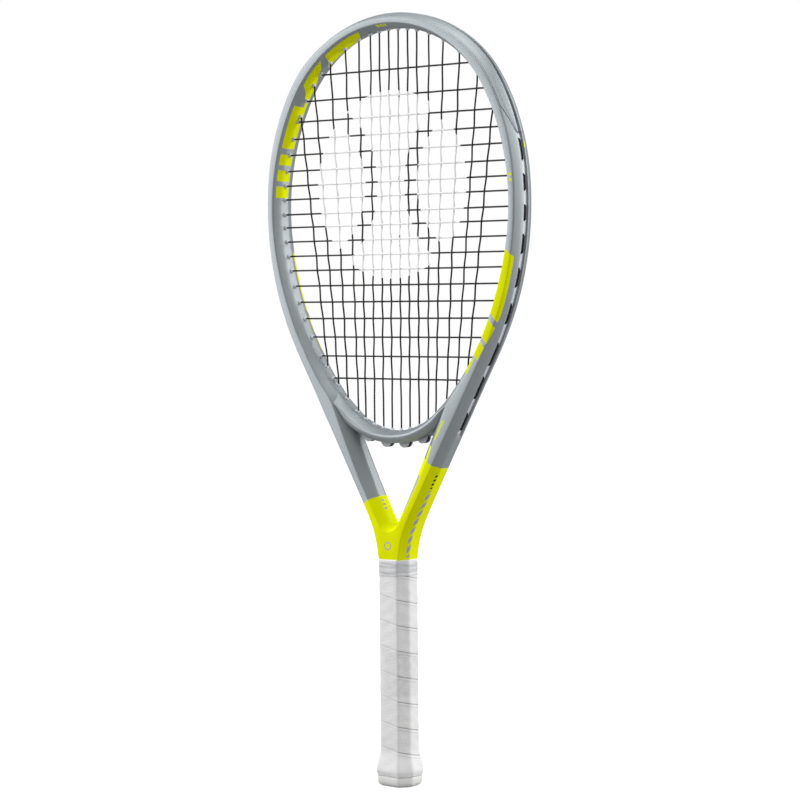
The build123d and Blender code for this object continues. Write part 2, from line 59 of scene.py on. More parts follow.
def add_object(name, data):
    """A new object in the scene."""
    made = bpy.data.objects.new(name, data)
    bpy.context.scene.collection.objects.link(made)
    return made


def add_camera():
    """A long lens in front of the racket and to its right."""
    yaw = CAMERA_AZIMUTH + CAMERA_PAN
    ahead = Vector((-sin(yaw) * cos(CAMERA_PITCH), cos(yaw) * cos(CAMERA_PITCH), sin(CAMERA_PITCH)))
    right = Vector((cos(yaw), sin(yaw), 0))
    up = right.cross(ahead)
    level_right = right * cos(CAMERA_ROLL) + up * sin(CAMERA_ROLL)
    level_up = up * cos(CAMERA_ROLL) - right * sin(CAMERA_ROLL)
    data = bpy.data.cameras.new("camera")
    data.lens = CAMERA_LENS
    data.sensor_width = CAMERA_SENSOR
    place = Matrix((level_right, level_up, -ahead)).transposed().to_4x4()
    place.translation = (CAMERA_DISTANCE * sin(CAMERA_AZIMUTH), -CAMERA_DISTANCE * cos(CAMERA_AZIMUTH),
                         CAMERA_HEIGHT)
    camera = add_object("camera", data)
    camera.matrix_world = place
    bpy.context.scene.camera = camera


add_camera()

# ---- the frame's outline, as in the CAD, except that the fork's crotch is a little higher
OUTLINE_TOP = 691.0
OUTLINE_RADII = (142.0, 111.0, 194.5, 277.0)
OUTLINE_TURNS = (37.0, 58.0, 84.3, 118.8)  # degrees turned by the end of each arc
ARM_RUN = 166.7  # the arm's straight run past the last arc
FORK_RADIUS = 91.3
EGG_TOP = 678.4
EGG_RADII = (120.0, 114.5, 201.0, 262.0)
EGG_TURNS = (41.6, 60.6, 97.5, 135.6)
FORK_POINT = 227.0
ARM_LEAN = 26.0
FORK_FILLET = 6.0
BRIDGE_BOTTOM = 310.0
BRIDGE_RADIUS = 95.0
GROOVE_DEPTH = 2.6
GROOVE_HALF = 3.2
GROOVE_RUN = 82.0  # how far the groove runs on down the arm

# ---- strings: routes as in the CAD, but a thicker string, so that the bed looks as dark as it should
STRING_R = 0.80
STRING_SIDES = 8
MAIN_LOW = 330.0  # the two heights at which the mains' half spacings are given
MAIN_HIGH = 680.0
MAIN_AT_330 = (5.2, 15.0, 25.4, 35.4, 45.5, 56.8, 66.1, 75.7)
MAIN_AT_680 = (5.4, 15.9, 26.5, 40.0, 56.4, 75.1, 97.3, 118.9)
BRIDGE_MAINS = 4
CROSS_Z = (643.5, 620.3, 601.7, 586.0, 571.4, 556.4, 542.9, 530.3, 516.5, 504.5,
           491.3, 477.7, 464.3, 450.0, 435.0, 419.8, 402.8, 385.4, 365.2)
LOOP_BEND = 1.3  # bend radii: out of a hole, into the bed and along the groove
TIP_BEND = 1.5
GROOVE_BEND = 20.0
LOOP_PIECE = 14.0  # longest straight piece of a loop in the groove
LOOP_DEPTH = 0.85
HOLE_LEAN = 3.0  # how strongly a hole leans towards the wall's normal
LEAN_FROM = 8.0  # degrees between string and normal from which it leans at all
BARREL_PROUD = 1.2
TIP_CLEAR = 0.8
MEET_STEPS = 900


def walk(top, radii, turns, distance):
    """Point (x, z) and outward normal at a distance along tangent arcs and then straight on."""
    point = Vector((0.0, top))
    turned = 0.0
    left = distance
    for radius, turn in zip(radii, turns):
        step = min(left, radius * radians(turn - turned))
        begin = radians(turned)
        end = begin + step / radius
        point += Vector((sin(end) - sin(begin), cos(end) - cos(begin))) * radius
        left -= step
        if left <= 0:
            return point, Vector((sin(end), cos(end)))
        turned = turn
    end = radians(turned)
    return point + Vector((cos(end), -sin(end))) * left, Vector((sin(end), cos(end)))


def path_length(radii, turns):
    starts = (0.0,) + tuple(turns[:-1])
    return sum(radius * radians(turn - start) for radius, start, turn in zip(radii, starts, turns))


def outline_at(distance, depth=0.0):
    """Point and normal on the frame's outside, or at a depth below it."""
    return walk(OUTLINE_TOP - depth, [radius - depth for radius in OUTLINE_RADII], OUTLINE_TURNS, distance)


def loop_at(distance):
    """Where the strings lie in the groove."""
    return outline_at(distance, LOOP_DEPTH)


EGG_LOW = walk(EGG_TOP, EGG_RADII, EGG_TURNS, path_length(EGG_RADII, EGG_TURNS))[0]
EGG_LAST = EGG_LOW.x / sin(radians(EGG_TURNS[-1]))
OUTLINE_LENGTH = path_length(OUTLINE_RADII, OUTLINE_TURNS) + ARM_RUN
EGG_LENGTH = path_length(EGG_RADII + (EGG_LAST,), EGG_TURNS + (180.0,))


def egg_at(distance):
    """Point and normal along the right half of the opening inside the hoop."""
    return walk(EGG_TOP, EGG_RADII + (EGG_LAST,), EGG_TURNS + (180.0,), distance)


def meet(path, length, origin, heading):
    """Distance along a path to where a ray from a point inside it comes out, on the right half."""
    before = None
    for i in range(MEET_STEPS + 1):
        toward = path(length * i / MEET_STEPS)[0] - origin
        side = toward.x * heading.y - toward.y * heading.x
        ahead = toward.dot(heading) > 0
        if ahead and before is not None and side * before <= 0:
            return length * (i - side / (side - before)) / MEET_STEPS
        before = side if ahead else None
    raise ValueError("the ray misses the path")


def degrees_between(a, b):
    return degrees(a.angle(b))


def port(origin, heading, kind="blend"):
    """Where a string goes through the hoop: its wall point, its direction there and its exit distance."""
    wall = egg_at(meet(egg_at, EGG_LENGTH, origin, heading))[0]
    if kind == "straight":
        return wall, heading, None
    if kind == "square":
        direction = loop_at(OUTLINE_LENGTH)[1]
    else:
        normal = loop_at(meet(loop_at, OUTLINE_LENGTH, origin, heading))[1]
        bent = degrees_between(heading, normal) > LEAN_FROM
        direction = (heading + normal * HOLE_LEAN).normalized() if bent else heading
    return wall, direction, meet(loop_at, OUTLINE_LENGTH, wall, direction)


def main_line(i):
    """A point on a main string and its heading towards the head."""
    low = Vector((MAIN_AT_330[i], MAIN_LOW))
    high = Vector((MAIN_AT_680[i], MAIN_HIGH))
    return (low + high) / 2, (high - low).normalized()


def main_at(i, z):
    """Half spacing of a main string at a height."""
    return MAIN_AT_330[i] + (MAIN_AT_680[i] - MAIN_AT_330[i]) * (z - MAIN_LOW) / (MAIN_HIGH - MAIN_LOW)


def tip_of(hole):
    """Where a string leaves a grommet inside the hoop."""
    return hole[0] - hole[1] * (BARREL_PROUD + TIP_CLEAR)


def bridge_edge(x):
    """Height of the bridge's lower edge."""
    return BRIDGE_BOTTOM + BRIDGE_RADIUS - sqrt(BRIDGE_RADIUS**2 - x**2)


MAINS = range(len(MAIN_AT_330))
HEAD_PORTS = [port(*main_line(i)) for i in MAINS]
THROAT_PORTS = [port(main_line(i)[0], main_line(i)[1] * -1, "straight" if i < BRIDGE_MAINS else "square")
                for i in MAINS]
SIDE_PORTS = [port(Vector((0.0, z)), Vector((1.0, 0.0))) for z in CROSS_Z]
SIDE_REACH = [hole[0].x for hole in SIDE_PORTS]


# ---- meshes
def put_mesh(name, vertices, faces, layers=None):
    """A mesh object from points in millimetres; layers are named values for each point."""
    mesh = bpy.data.meshes.new(name)
    mesh.from_pydata([tuple(component * MM for component in v) for v in vertices], [], faces)
    for layer, values in (layers or {}).items():
        attribute = mesh.attributes.new(layer, "FLOAT", "POINT")
        attribute.data.foreach_set("value", values)
    mesh.shade_smooth()
    return add_object(name, mesh)


def grid_faces(rows, columns, closed):
    """Quads between rows of points; closed joins the last column to the first."""
    faces = []
    for i in range(rows - 1):
        for j in range(columns if closed else columns - 1):
            k = (j + 1) % columns
            faces.append((i * columns + j, i * columns + k, (i + 1) * columns + k, (i + 1) * columns + j))
    return faces


def put_rings(name, vertices, columns):
    """A cleaned skin through rings of points, closed at its first and last ring."""
    rows = len(vertices) // columns
    faces = grid_faces(rows, columns, closed=True)
    faces += [tuple(range(columns)), tuple(reversed(range((rows - 1) * columns, rows * columns)))]
    piece = put_mesh(name, vertices, faces)
    clean(piece)
    return piece


def clean(piece):
    """Weld points that meet, drop what is loose and turn every face outwards."""
    work = bmesh.new()
    work.from_mesh(piece.data)
    bmesh.ops.remove_doubles(work, verts=work.verts, dist=WELD * MM)
    bmesh.ops.dissolve_degenerate(work, edges=work.edges, dist=1e-7)
    loose = [vertex for vertex in work.verts if not vertex.link_faces]
    bmesh.ops.delete(work, geom=loose, context="VERTS")
    bmesh.ops.recalc_face_normals(work, faces=work.faces)
    work.to_mesh(piece.data)
    work.free()
    piece.data.shade_smooth()


def share_between(low, high, at):
    """0 at low, 1 at high and straight between them."""
    return min(1.0, max(0.0, (at - low) / (high - low)))


def keyed(keys, at):
    """A smooth value between (position, value) keys."""
    keys = sorted(keys)
    if at <= keys[0][0]:
        return keys[0][1]
    for (left, low), (right, high) in zip(keys, keys[1:]):
        if at <= right:
            t = (at - left) / (right - left)
            return low + (high - low) * t * t * (3 - 2 * t)
    return keys[-1][1]


# ---- the frame: one skin over the hoop, both arms and the shaft
# Each profile is (height, value) pairs: how wide a slope is, where it starts, how round it is, the half beam.
SHAFT_END = 203.8
CROTCH_OUTER = 214.0  # height on the outline that goes with the fork's crotch
RATE_START = 262.0  # below this height the arms' inner edges run on to the crotch
OUTER_SLOPE = ((700, 3.75), (450, 3.75), (390, 4.3), (340, 5.0), (290, 5.4), (250, 5.7), (207, 6.0))
INNER_SLOPE = ((700, 3.75), (450, 3.85), (400, 4.6), (360, 6.2), (305, 8.2), (280, 8.4), (262, 7.2),
               (243, 5.8), (232, 4.6))
SIDE_FLAT = ((700, 4.3), (300, 4.4), (260, 4.9), (222, 6.2), (207, 6.05))
INNER_FLAT = ((700, 4.3), (430, 4.0), (340, 3.2), (232, 3.6))
INNER_BULGE = ((700, 1.22), (430, 1.3), (340, 1.5), (232, 1.5))
OUTER_BULGE = ((700, 1.22), (232, 1.22), (207, 1.0))
HALF_BEAM = ((700, 13.35), (400, 13.45), (300, 13.6), (262, 13.75), (236, 14.4), (218, 15.05), (207, 15.0),
             (204, 14.7))
YOKE_TOP = 430.0  # above this height the tube's inner edge is the egg alone
YOKE_BLEND = 1.2  # rounds the corner between the egg and the arm's inner edge
SLOPE_STEPS = 9
EDGE_REACH = 0.85  # from a slope's end to the flat face
PROBE_STEP = 0.5
EGG_STEPS = 1400
FINE_BELOW = 300.0  # rows are 3.0 apart above this height and 1.6 below it
SHARES = (0.25, 0.5, 0.75)  # points across the flat face
# The paint's value round the section: 0 in the groove, 1 to 2 up the outer slope, 2.1 to 2.9 across the face
# and 3 to 5 down the inner slope.
AROUND = [0.0, 0.3, 0.5, 0.6, 0.75] + [1 + i / (SLOPE_STEPS - 1) for i in range(SLOPE_STEPS)] + [2.04, 2.1]


def fork_at(distance):
    """The outline past the straight of the arm: the fork's arc and then the shaft."""
    start, normal = outline_at(OUTLINE_LENGTH)
    turn = radians(OUTLINE_TURNS[-1])
    end = max(turn - distance / FORK_RADIUS, pi / 2)
    centre = start + normal * FORK_RADIUS
    point = centre - Vector((sin(end), cos(end))) * FORK_RADIUS
    past = max(0.0, distance - FORK_RADIUS * (turn - pi / 2))
    return point - Vector((0, past)), Vector((sin(end), cos(end)))


def outer_at(distance):
    """Point and outward normal on the outside of the hoop, the arm and the shaft."""
    if distance <= OUTLINE_LENGTH:
        return outline_at(distance)
    return fork_at(distance - OUTLINE_LENGTH)


EGG_POINTS = np.array([list(egg_at(EGG_LENGTH * i / EGG_STEPS)[0]) for i in range(EGG_STEPS + 1)])
EGG_NORMALS = np.array([list(egg_at(EGG_LENGTH * i / EGG_STEPS)[1]) for i in range(EGG_STEPS + 1)])


def egg_depth(point):
    """How far a point is inside the hoop's opening; negative outside it."""
    away = EGG_POINTS - np.array(point)
    nearest = int(np.argmin((away**2).sum(1)))
    return float(away[nearest] @ EGG_NORMALS[nearest])


def inner_reach(point, normal):
    """Distance through the tube to its inner edge: the egg, or the arm's straight inner edge."""
    lean = radians(ARM_LEAN)
    line_normal = Vector((cos(lean), -sin(lean)))
    to_line = 100.0
    if point.y < YOKE_TOP:
        to_line = (point - Vector((0, FORK_POINT))).dot(line_normal) / normal.dot(line_normal)
    before = None
    for step in range(0, 61):
        inside = egg_depth(point - normal * (step * PROBE_STEP))
        if inside > 0:
            to_egg = (step - 1 + before / (before - inside)) * PROBE_STEP if before is not None else 0.0
            return -YOKE_BLEND * np.log(np.exp(-to_egg / YOKE_BLEND) + np.exp(-to_line / YOKE_BLEND))
        before = inside
    return to_line


def outside_rows():
    """Distance from the top, point and normal down the right half of the outside."""
    total = OUTLINE_LENGTH + FORK_RADIUS * (radians(OUTLINE_TURNS[-1]) - pi / 2)
    total += outer_at(total)[0].y - SHAFT_END
    rows = []
    distance = 0.0
    while distance < total:
        rows.append((distance, *outer_at(distance)))
        distance += 3.0 if rows[-1][1].y > FINE_BELOW else 1.6
    return rows + [(total, *outer_at(total))]


def inner_points(rows, crotch):
    """The tube's inner edge: the egg, the arm's straight run, the crotch's arc and then the middle line."""
    lean = radians(ARM_LEAN)
    foot = FORK_FILLET / tan(lean)
    tangent = Vector((foot * sin(lean), FORK_POINT + foot * cos(lean)))
    centre = Vector((0, FORK_POINT + FORK_FILLET / sin(lean)))
    inner = []
    for distance, point, normal in rows:
        place = point - normal * inner_reach(point, normal)
        if place.y < RATE_START:
            break
        inner.append(place)
    start, low = rows[len(inner) - 1][0], inner[-1]
    end, total = rows[crotch][0], rows[-1][0]
    run_line = (low - tangent).length
    run_arc = FORK_FILLET * (pi / 2 - lean)
    bottom = centre.y - FORK_FILLET
    for distance, _, _ in rows[len(inner):]:
        along = (distance - start) / (end - start) * (run_line + run_arc)
        if distance >= end:
            down = (distance - end) / (total - end)
            inner.append(Vector((0.0, bottom + (SHAFT_END - bottom) * down)))
        elif along < run_line:
            inner.append(low + (tangent - low) * (along / run_line))
        else:
            turn = lean + (along - run_line) / FORK_FILLET
            inner.append(centre + Vector((cos(turn), -sin(turn))) * FORK_FILLET)
    return np.array([list(place) for place in inner])


def half_section(slope, flat, beam, groove, bulge):
    """Depth below the wall and height above the mid-plane, from the middle of a wall to its facet."""
    if groove > 0.05:
        points = [(groove, 0.0), (groove, GROOVE_HALF - 0.5), (groove * 0.5, GROOVE_HALF - 0.05),
                  (0.25 * min(1, groove), GROOVE_HALF + 0.1), (0.0, GROOVE_HALF + 0.55)]
    else:
        points = [(0.0, flat * share) for share in (0.0, 0.3, 0.55, 0.7, 0.82)]
    for i in range(SLOPE_STEPS):
        t = i / (SLOPE_STEPS - 1)
        depth = slope * t**bulge
        height = flat + (beam - 0.3 - flat) * t
        points.append((depth, height))
    points += [(slope + 0.3, beam - 0.07), (slope + EDGE_REACH, beam)]
    return points


def inner_heading(inner, i, crotch):
    """Direction along the inner edge, level at the hoop's top and at the crotch."""
    if i == 0:
        return np.array([1.0, 0.0])
    if i == crotch:
        return np.array([-1.0, 0.0])
    ahead = inner[i + 1] - inner[i - 1]
    return ahead / np.linalg.norm(ahead)


def frame_ring(rows, inner, i, crotch):
    """Points round the tube at one row, each with its depth from front to back and its paint value."""
    distance, point, normal = rows[i]
    z = point.y
    beam = keyed(HALF_BEAM, z)
    past = distance - (OUTLINE_LENGTH - ARM_RUN)
    groove = GROOVE_DEPTH * keyed(((GROOVE_RUN - 3, 1.0), (GROOVE_RUN + 1, 0.0)), past)
    outer = half_section(keyed(OUTER_SLOPE, z), keyed(SIDE_FLAT, z), beam, groove, keyed(OUTER_BULGE, z))
    level = inner[i][1]
    inside = half_section(keyed(INNER_SLOPE, level), keyed(INNER_FLAT, level), beam, 0.0,
                          keyed(INNER_BULGE, level))
    outer_xz = [np.array(list(point)) - np.array(list(normal)) * depth for depth, _ in outer]
    if i <= crotch:
        ahead = inner_heading(inner, i, crotch)
        inward = np.array([-ahead[1], ahead[0]])
        inner_xz = [inner[i] + inward * depth for depth, _ in inside]
    else:
        down = (distance - rows[crotch][0]) / (rows[-1][0] - rows[crotch][0])
        top = inner[crotch][1] - keyed(INNER_SLOPE, inner[crotch][1]) - EDGE_REACH
        inner_xz = [np.array([0.0, top + (SHAFT_END - top) * down]) for _ in inside]
    front = [(xz, height, a) for xz, (_, height), a in zip(outer_xz, outer, AROUND)]
    for share in SHARES:
        crown = 0.12 * (1 - (2 * share - 1) ** 2)
        front.append((outer_xz[-1] * (1 - share) + inner_xz[-1] * share, beam + crown, 2.1 + 0.8 * share))
    front += [(xz, height, 5 - a) for xz, (_, height), a in reversed(list(zip(inner_xz, inside, AROUND)))]
    return front + [(xz, -y, a) for xz, y, a in reversed(front[1:-1])]


def build_frame():
    """Both halves of the tube, open on the middle line, where they are welded together."""
    rows = outside_rows()
    crotch = next(i for i, row in enumerate(rows) if row[1].y < CROTCH_OUTER)
    inner = inner_points(rows, crotch)
    rings = [frame_ring(rows, inner, i, crotch) for i in range(len(rows))]
    vertices = [(max(xz[0], 0.0), -y, xz[1]) for ring in rings for xz, y, _ in ring]
    run = [row[0] for row, ring in zip(rows, rings) for _ in ring]
    around = [a for ring in rings for _, _, a in ring]
    faces = grid_faces(len(rings), len(rings[0]), closed=True)
    faces = [face for face in faces if any(abs(vertices[k][0]) >= 1e-4 for k in face)]
    total = len(vertices)
    vertices += [(-x, y, z) for x, y, z in vertices]
    faces += [tuple(total + k for k in reversed(face)) for face in faces]
    piece = put_mesh("frame_skin", vertices, faces, layers={"run": run + run, "around": around + around})
    clean(piece)
    return piece


frame_skin = build_frame()


# ---- the bridge
BRIDGE_REACH = 108.0  # how far the bridge follows the hoop's opening, each way
# Each profile is (distance along it from the middle, value) pairs.
BRIDGE_WIDTH = ((0, 11.2), (22, 11.6), (46, 12.2), (60, 10.6), (77, 7.2), (108, 6.6))
BRIDGE_BEAM = ((0, 12.3), (40, 12.6), (60, 12.7), (80, 11.2), (95, 8.6), (108, 6.0))
BRIDGE_STEPS = 60


def build_bridge():
    """A rounded tube across the throat whose ends run up inside the hoop."""
    rings = []
    for i in range(BRIDGE_STEPS + 1):
        along = BRIDGE_REACH * i / BRIDGE_STEPS
        high, normal = egg_at(EGG_LENGTH - along)
        width = keyed(BRIDGE_WIDTH, along)
        beam = keyed(BRIDGE_BEAM, along)
        buried = keyed(((50, 0.0), (75, 1.0)), along)
        slope = width * 0.42 - EDGE_REACH
        upper_slope = slope * (1 - buried) + (keyed(INNER_SLOPE, high.y) + 0.2) * buried
        upper = half_section(upper_slope, 4.2, beam, 0.0, 1.4)
        lower = half_section(slope, 6.5, beam, 0.0, 2.1)
        front = [(0.1 + 0.25 * buried + depth, height) for depth, height in upper]
        start, stop = front[-1][0], max(front[-1][0] + 0.1, width - lower[-1][0])
        for share in SHARES:
            crown = 0.3 * (1 - buried) * (1 - (2 * share - 1) ** 2)
            front.append((start + (stop - start) * share, beam + crown))
        front += [(max(stop, width - depth), height) for depth, height in reversed(lower)]
        rings.append([(high + normal * depth, height) for depth, height in
                      front + [(depth, -height) for depth, height in reversed(front[1:-1])]])
    vertices = []
    for i in range(-BRIDGE_STEPS, BRIDGE_STEPS + 1):
        side = -1 if i < 0 else 1
        vertices += [(side * xz.x, -height, xz.y) for xz, height in rings[abs(i)]]
    return put_rings("bridge_skin", vertices, len(rings[0]))


bridge_skin = build_bridge()


# ---- the bumper and the grommets' tips
BUMPER_END = 579.6  # the height at which the bumper stops
BUMPER_TAPER = 604.0  # below this height the bumper's edges close in on the groove
BUMPER_COVER = 0.9  # how much of the outer slope it covers above that
BUMPER_PROUD = 0.97
BUMPER_LIFT = 0.4
COVER_STEPS = 10
SLOT_HALF = 1.9  # half width of the slot that the strings lie in
STRIP_DEPTH = 1.8
# The collar's section: (distance into the wall, radius) pairs.
TIP_PROFILE = ((0.8, 2.3), (0.0, 2.3), (-0.5, 2.2), (-1.5, 1.8), (-1.8, 1.55), (-1.85, 0.9), (-1.5, 0.8))
TIP_SIDES = 14


def bumper_ring(z):
    """Height and depth round the bumper's section at a height on the hoop."""
    slope, flat, beam = (keyed(keys, z) for keys in (OUTER_SLOPE, SIDE_FLAT, HALF_BEAM))
    cover = BUMPER_COVER * share_between(BUMPER_END, BUMPER_TAPER, z)
    skin = [(0.0, STRIP_DEPTH), (SLOT_HALF - 0.1, STRIP_DEPTH), (SLOT_HALF, STRIP_DEPTH - 0.2),
            (SLOT_HALF, -0.6), (SLOT_HALF + 0.25, -0.88), (SLOT_HALF + 0.7, -BUMPER_PROUD),
            (3.5, -BUMPER_PROUD), (4.15, -0.8)]
    for i in range(1, COVER_STEPS + 1):
        t = cover * i / COVER_STEPS
        lift = BUMPER_LIFT * (1.9 - 0.09 * i) + 0.06 * cos(i * 1.25)
        skin.append((flat + (beam - 0.3 - flat) * t, slope * t**1.22 - lift))
    height, depth = skin[-1]
    skin += [(height + 0.3, depth + 0.35), (height + 0.2, depth + BUMPER_LIFT + 0.6)]
    under = [(4.0, 1.0), (SLOT_HALF + 0.6, STRIP_DEPTH + 0.4), (0.0, STRIP_DEPTH + 0.4)]
    half = skin + under
    return half + [(-height, depth) for height, depth in reversed(half[1:-1])]


def build_bumper():
    """The guard strip over the top of the hoop, from its left end to its right one."""
    rows = [row for row in outside_rows() if row[1].y > BUMPER_END]
    last = next(d / 10 for d in range(0, 4000) if outer_at(d / 10)[0].y <= BUMPER_END)
    rows.append((last, *outer_at(last)))
    vertices = []
    for side, ordered in ((-1, reversed(rows)), (1, rows[1:])):
        for _, point, normal in ordered:
            for height, depth in bumper_ring(point.y):
                at = point - normal * depth
                vertices.append((side * at.x, -height, at.y))
    return put_rings("bumper_skin", vertices, len(bumper_ring(BUMPER_TAPER)))


def build_tips():
    """A short tapered collar round each string where it comes through the hoop."""
    vertices, faces = [], []
    for hole in HEAD_PORTS + SIDE_PORTS + THROAT_PORTS:
        for side in (-1, 1):
            start = len(vertices)
            for along, radius in TIP_PROFILE:
                at = hole[0] + hole[1] * along
                for j in range(TIP_SIDES):
                    turn = 2 * pi * j / TIP_SIDES
                    across = radius * cos(turn)
                    vertices.append((side * (at.x - hole[1].y * across), radius * sin(turn),
                                     at.y + hole[1].x * across))
            sides = grid_faces(len(TIP_PROFILE), TIP_SIDES, closed=True)
            faces += [tuple(start + k for k in face) for face in sides]
            end = start + (len(TIP_PROFILE) - 1) * TIP_SIDES
            faces += [tuple(range(start, start + TIP_SIDES)), tuple(range(end + TIP_SIDES - 1, end - 1, -1))]
    piece = put_mesh("grommet_tips", vertices, faces)
    clean(piece)
    return piece


bumper_skin = build_bumper()
grommet_tips = build_tips()


# ---- strings
def saddle_low(i):
    """Height of the bend below the bridge that joins a main to the next one."""
    x = (MAIN_AT_330[i] + MAIN_AT_330[i + 1]) / 2
    return bridge_edge(x) - (MAIN_AT_330[i + 1] - MAIN_AT_330[i]) / 2


def run_round(start, finish):
    """Corners of a loop along the groove, from one exit distance to another."""
    pieces = max(1, ceil(abs(finish - start) / LOOP_PIECE))
    if degrees_between(loop_at(start)[1], loop_at(finish)[1]) < 3:
        pieces = 1
    corners = [(loop_at(start)[0], LOOP_BEND, None)]
    for i in range(1, pieces):
        corners.append((loop_at(start + (finish - start) * i / pieces)[0], GROOVE_BEND, None))
    return corners + [(loop_at(finish)[0], LOOP_BEND, None)]


def through(hole, heading, tag):
    """The corner inside the hoop. Its tag names the string run that starts or ends there."""
    return [(tip_of(hole), TIP_BEND if degrees_between(hole[1], heading) >= 1 else 0.0, tag)]


def main_corners():
    """Corners of the main string's right half, from the middle of the head to its tied end."""
    corners = []
    for i in MAINS:
        up = main_line(i)[1]
        tag = ("main", i)
        head = through(HEAD_PORTS[i], up, tag)
        throat = through(THROAT_PORTS[i], up * -1, tag)
        if i % 2 == 0:
            corners += [(loop_at(HEAD_PORTS[i][2])[0], LOOP_BEND, None)] if i == 0 else []
            corners += head + throat
            if i < BRIDGE_MAINS:
                bend = (MAIN_AT_330[i + 1] - MAIN_AT_330[i]) / 2 * 0.98
                low = saddle_low(i)
                corners += [(Vector((main_at(j, low), low)), bend, None) for j in (i, i + 1)]
            else:
                corners += run_round(THROAT_PORTS[i][2], THROAT_PORTS[i + 1][2])
        else:
            corners += throat + head
            after = HEAD_PORTS[i + 1][2] if i + 1 < len(MAIN_AT_330) else SIDE_PORTS[2][2]
            corners += run_round(HEAD_PORTS[i][2], after)
    return corners


def mirrored(corners):
    """The same corners on the other side; string runs there count down from -1."""
    return [(Vector((-point.x, point.y)), bend, tag and (tag[0], -1 - tag[1]))
            for point, bend, tag in corners]


def cross_corners():
    """Corners of the cross string, from its tied end at the top left to the one at the lower right."""
    corners = []
    for k, hole in enumerate(SIDE_PORTS):
        tag = ("cross", k)
        side = through(hole, Vector((1.0, 0.0)), tag)
        enter = [(Vector((-point.x, point.y)), bend, tag) for point, bend, _ in side]
        leave = side
        after = SIDE_PORTS[k + 1][2] if k + 1 < len(SIDE_PORTS) else THROAT_PORTS[6][2]
        loop = run_round(hole[2], after)
        if k % 2 == 1:
            enter, leave = leave, enter
            loop = mirrored(loop)
        corners += enter + leave + loop
    tail = run_round(HEAD_PORTS[6][2], SIDE_PORTS[0][2])
    return mirrored(tail) + corners


WEAVE = 0.50  # how far a string stands off the mid-plane where it crosses another
WEAVE_STEP = 2.2
WEAVE_EASE = 6.0  # run over which the weave fades in at the hoop
WEAVE_END = 18.0  # the mains are straight this far past the last crosses
CLOSEST = 0.12  # points nearer than this to the last one are left out


def column_of(i):
    """Which half spacing a main uses. Mains count from 0 right of the middle and from -1 left of it."""
    return i if i >= 0 else -1 - i


def weave_main(i, z):
    """How far a main stands behind the mid-plane at a height."""
    x = main_at(column_of(i), z)
    crossings = [(level, WEAVE if (i + k) % 2 else -WEAVE) for k, level in enumerate(CROSS_Z)
                 if x < SIDE_REACH[k] - 1]
    return keyed(crossings + [(CROSS_Z[0] + WEAVE_END, 0.0), (CROSS_Z[-1] - WEAVE_END, 0.0)], z)


def weave_cross(k, x):
    """How far a cross stands behind the mid-plane at a place across the head."""
    crossings = []
    for i in range(-len(MAIN_AT_330), len(MAIN_AT_330)):
        at = main_at(column_of(i), CROSS_Z[k])
        if at <= SIDE_REACH[k] - 1:
            crossings.append((at if i >= 0 else -at, -WEAVE if (i + k) % 2 else WEAVE))
    reach = SIDE_REACH[k] + 2
    return keyed(crossings + [(-reach, 0.0), (reach, 0.0)], x)


def string_points(corners):
    """Points along a string: bends rounded, and the runs across the bed woven."""
    points = []
    corners = [(np.array(list(p)), bend, tag) for p, bend, tag in corners]
    for index, (here, bend, tag) in enumerate(corners):
        before = corners[index - 1][0] if index else None
        after = corners[index + 1][0] if index + 1 < len(corners) else None
        if before is None or after is None or bend <= 0:
            points.append((here, 0.0))
        else:
            arrive = here - before
            leave = after - here
            room = min(np.linalg.norm(arrive), np.linalg.norm(leave)) * 0.48
            arrive = arrive / np.linalg.norm(arrive)
            leave = leave / np.linalg.norm(leave)
            turn = np.arccos(np.clip(arrive @ leave, -1, 1))
            cut = min(bend * np.tan(turn / 2), room)
            first, last = here - arrive * cut, here + leave * cut
            steps = max(2, int(np.ceil(np.degrees(turn) / 14)))
            for s in range(steps + 1):
                t = s / steps
                points.append(((1 - t) ** 2 * first + 2 * t * (1 - t) * here + t * t * last, 0.0))
        if tag and after is not None and corners[index + 1][2] == tag:
            start = points[-1][0]
            length = np.linalg.norm(after - start)
            steps = int(length / WEAVE_STEP)
            for s in range(1, steps):
                p = start + (after - start) * (s / steps)
                ease = min(1, s * WEAVE_STEP / WEAVE_EASE, (steps - s) * WEAVE_STEP / WEAVE_EASE)
                y = weave_main(tag[1], p[1]) if tag[0] == "main" else weave_cross(tag[1], p[0])
                points.append((p, y * ease))
    return np.array([(p[0], y, p[1]) for p, y in points])


def tube(name, points, radius):
    """A round tube along points, closed at both ends."""
    keep = [0]
    for i in range(1, len(points)):
        if np.linalg.norm(points[i] - points[keep[-1]]) > CLOSEST:
            keep.append(i)
    points = points[keep]
    tangents = np.gradient(points, axis=0)
    tangents /= np.linalg.norm(tangents, axis=1)[:, None]
    side = np.cross(tangents[0], (0, 1, 0))
    side /= np.linalg.norm(side)
    vertices = []
    for point, tangent in zip(points, tangents):
        side = side - tangent * (side @ tangent)
        side /= np.linalg.norm(side)
        other = np.cross(tangent, side)
        for j in range(STRING_SIDES):
            turn = 2 * pi * j / STRING_SIDES
            vertices.append(tuple(point + (side * cos(turn) + other * sin(turn)) * radius))
    faces = grid_faces(len(points), STRING_SIDES, closed=True)
    last = (len(points) - 1) * STRING_SIDES
    faces += [tuple(reversed(range(STRING_SIDES))), tuple(range(last, last + STRING_SIDES))]
    return put_mesh(name, vertices, faces)


right_half = main_corners()
main_strings = tube("main_strings", string_points(mirrored(reversed(right_half)) + right_half), STRING_R)
cross_strings = tube("cross_strings", string_points(cross_corners()), STRING_R)


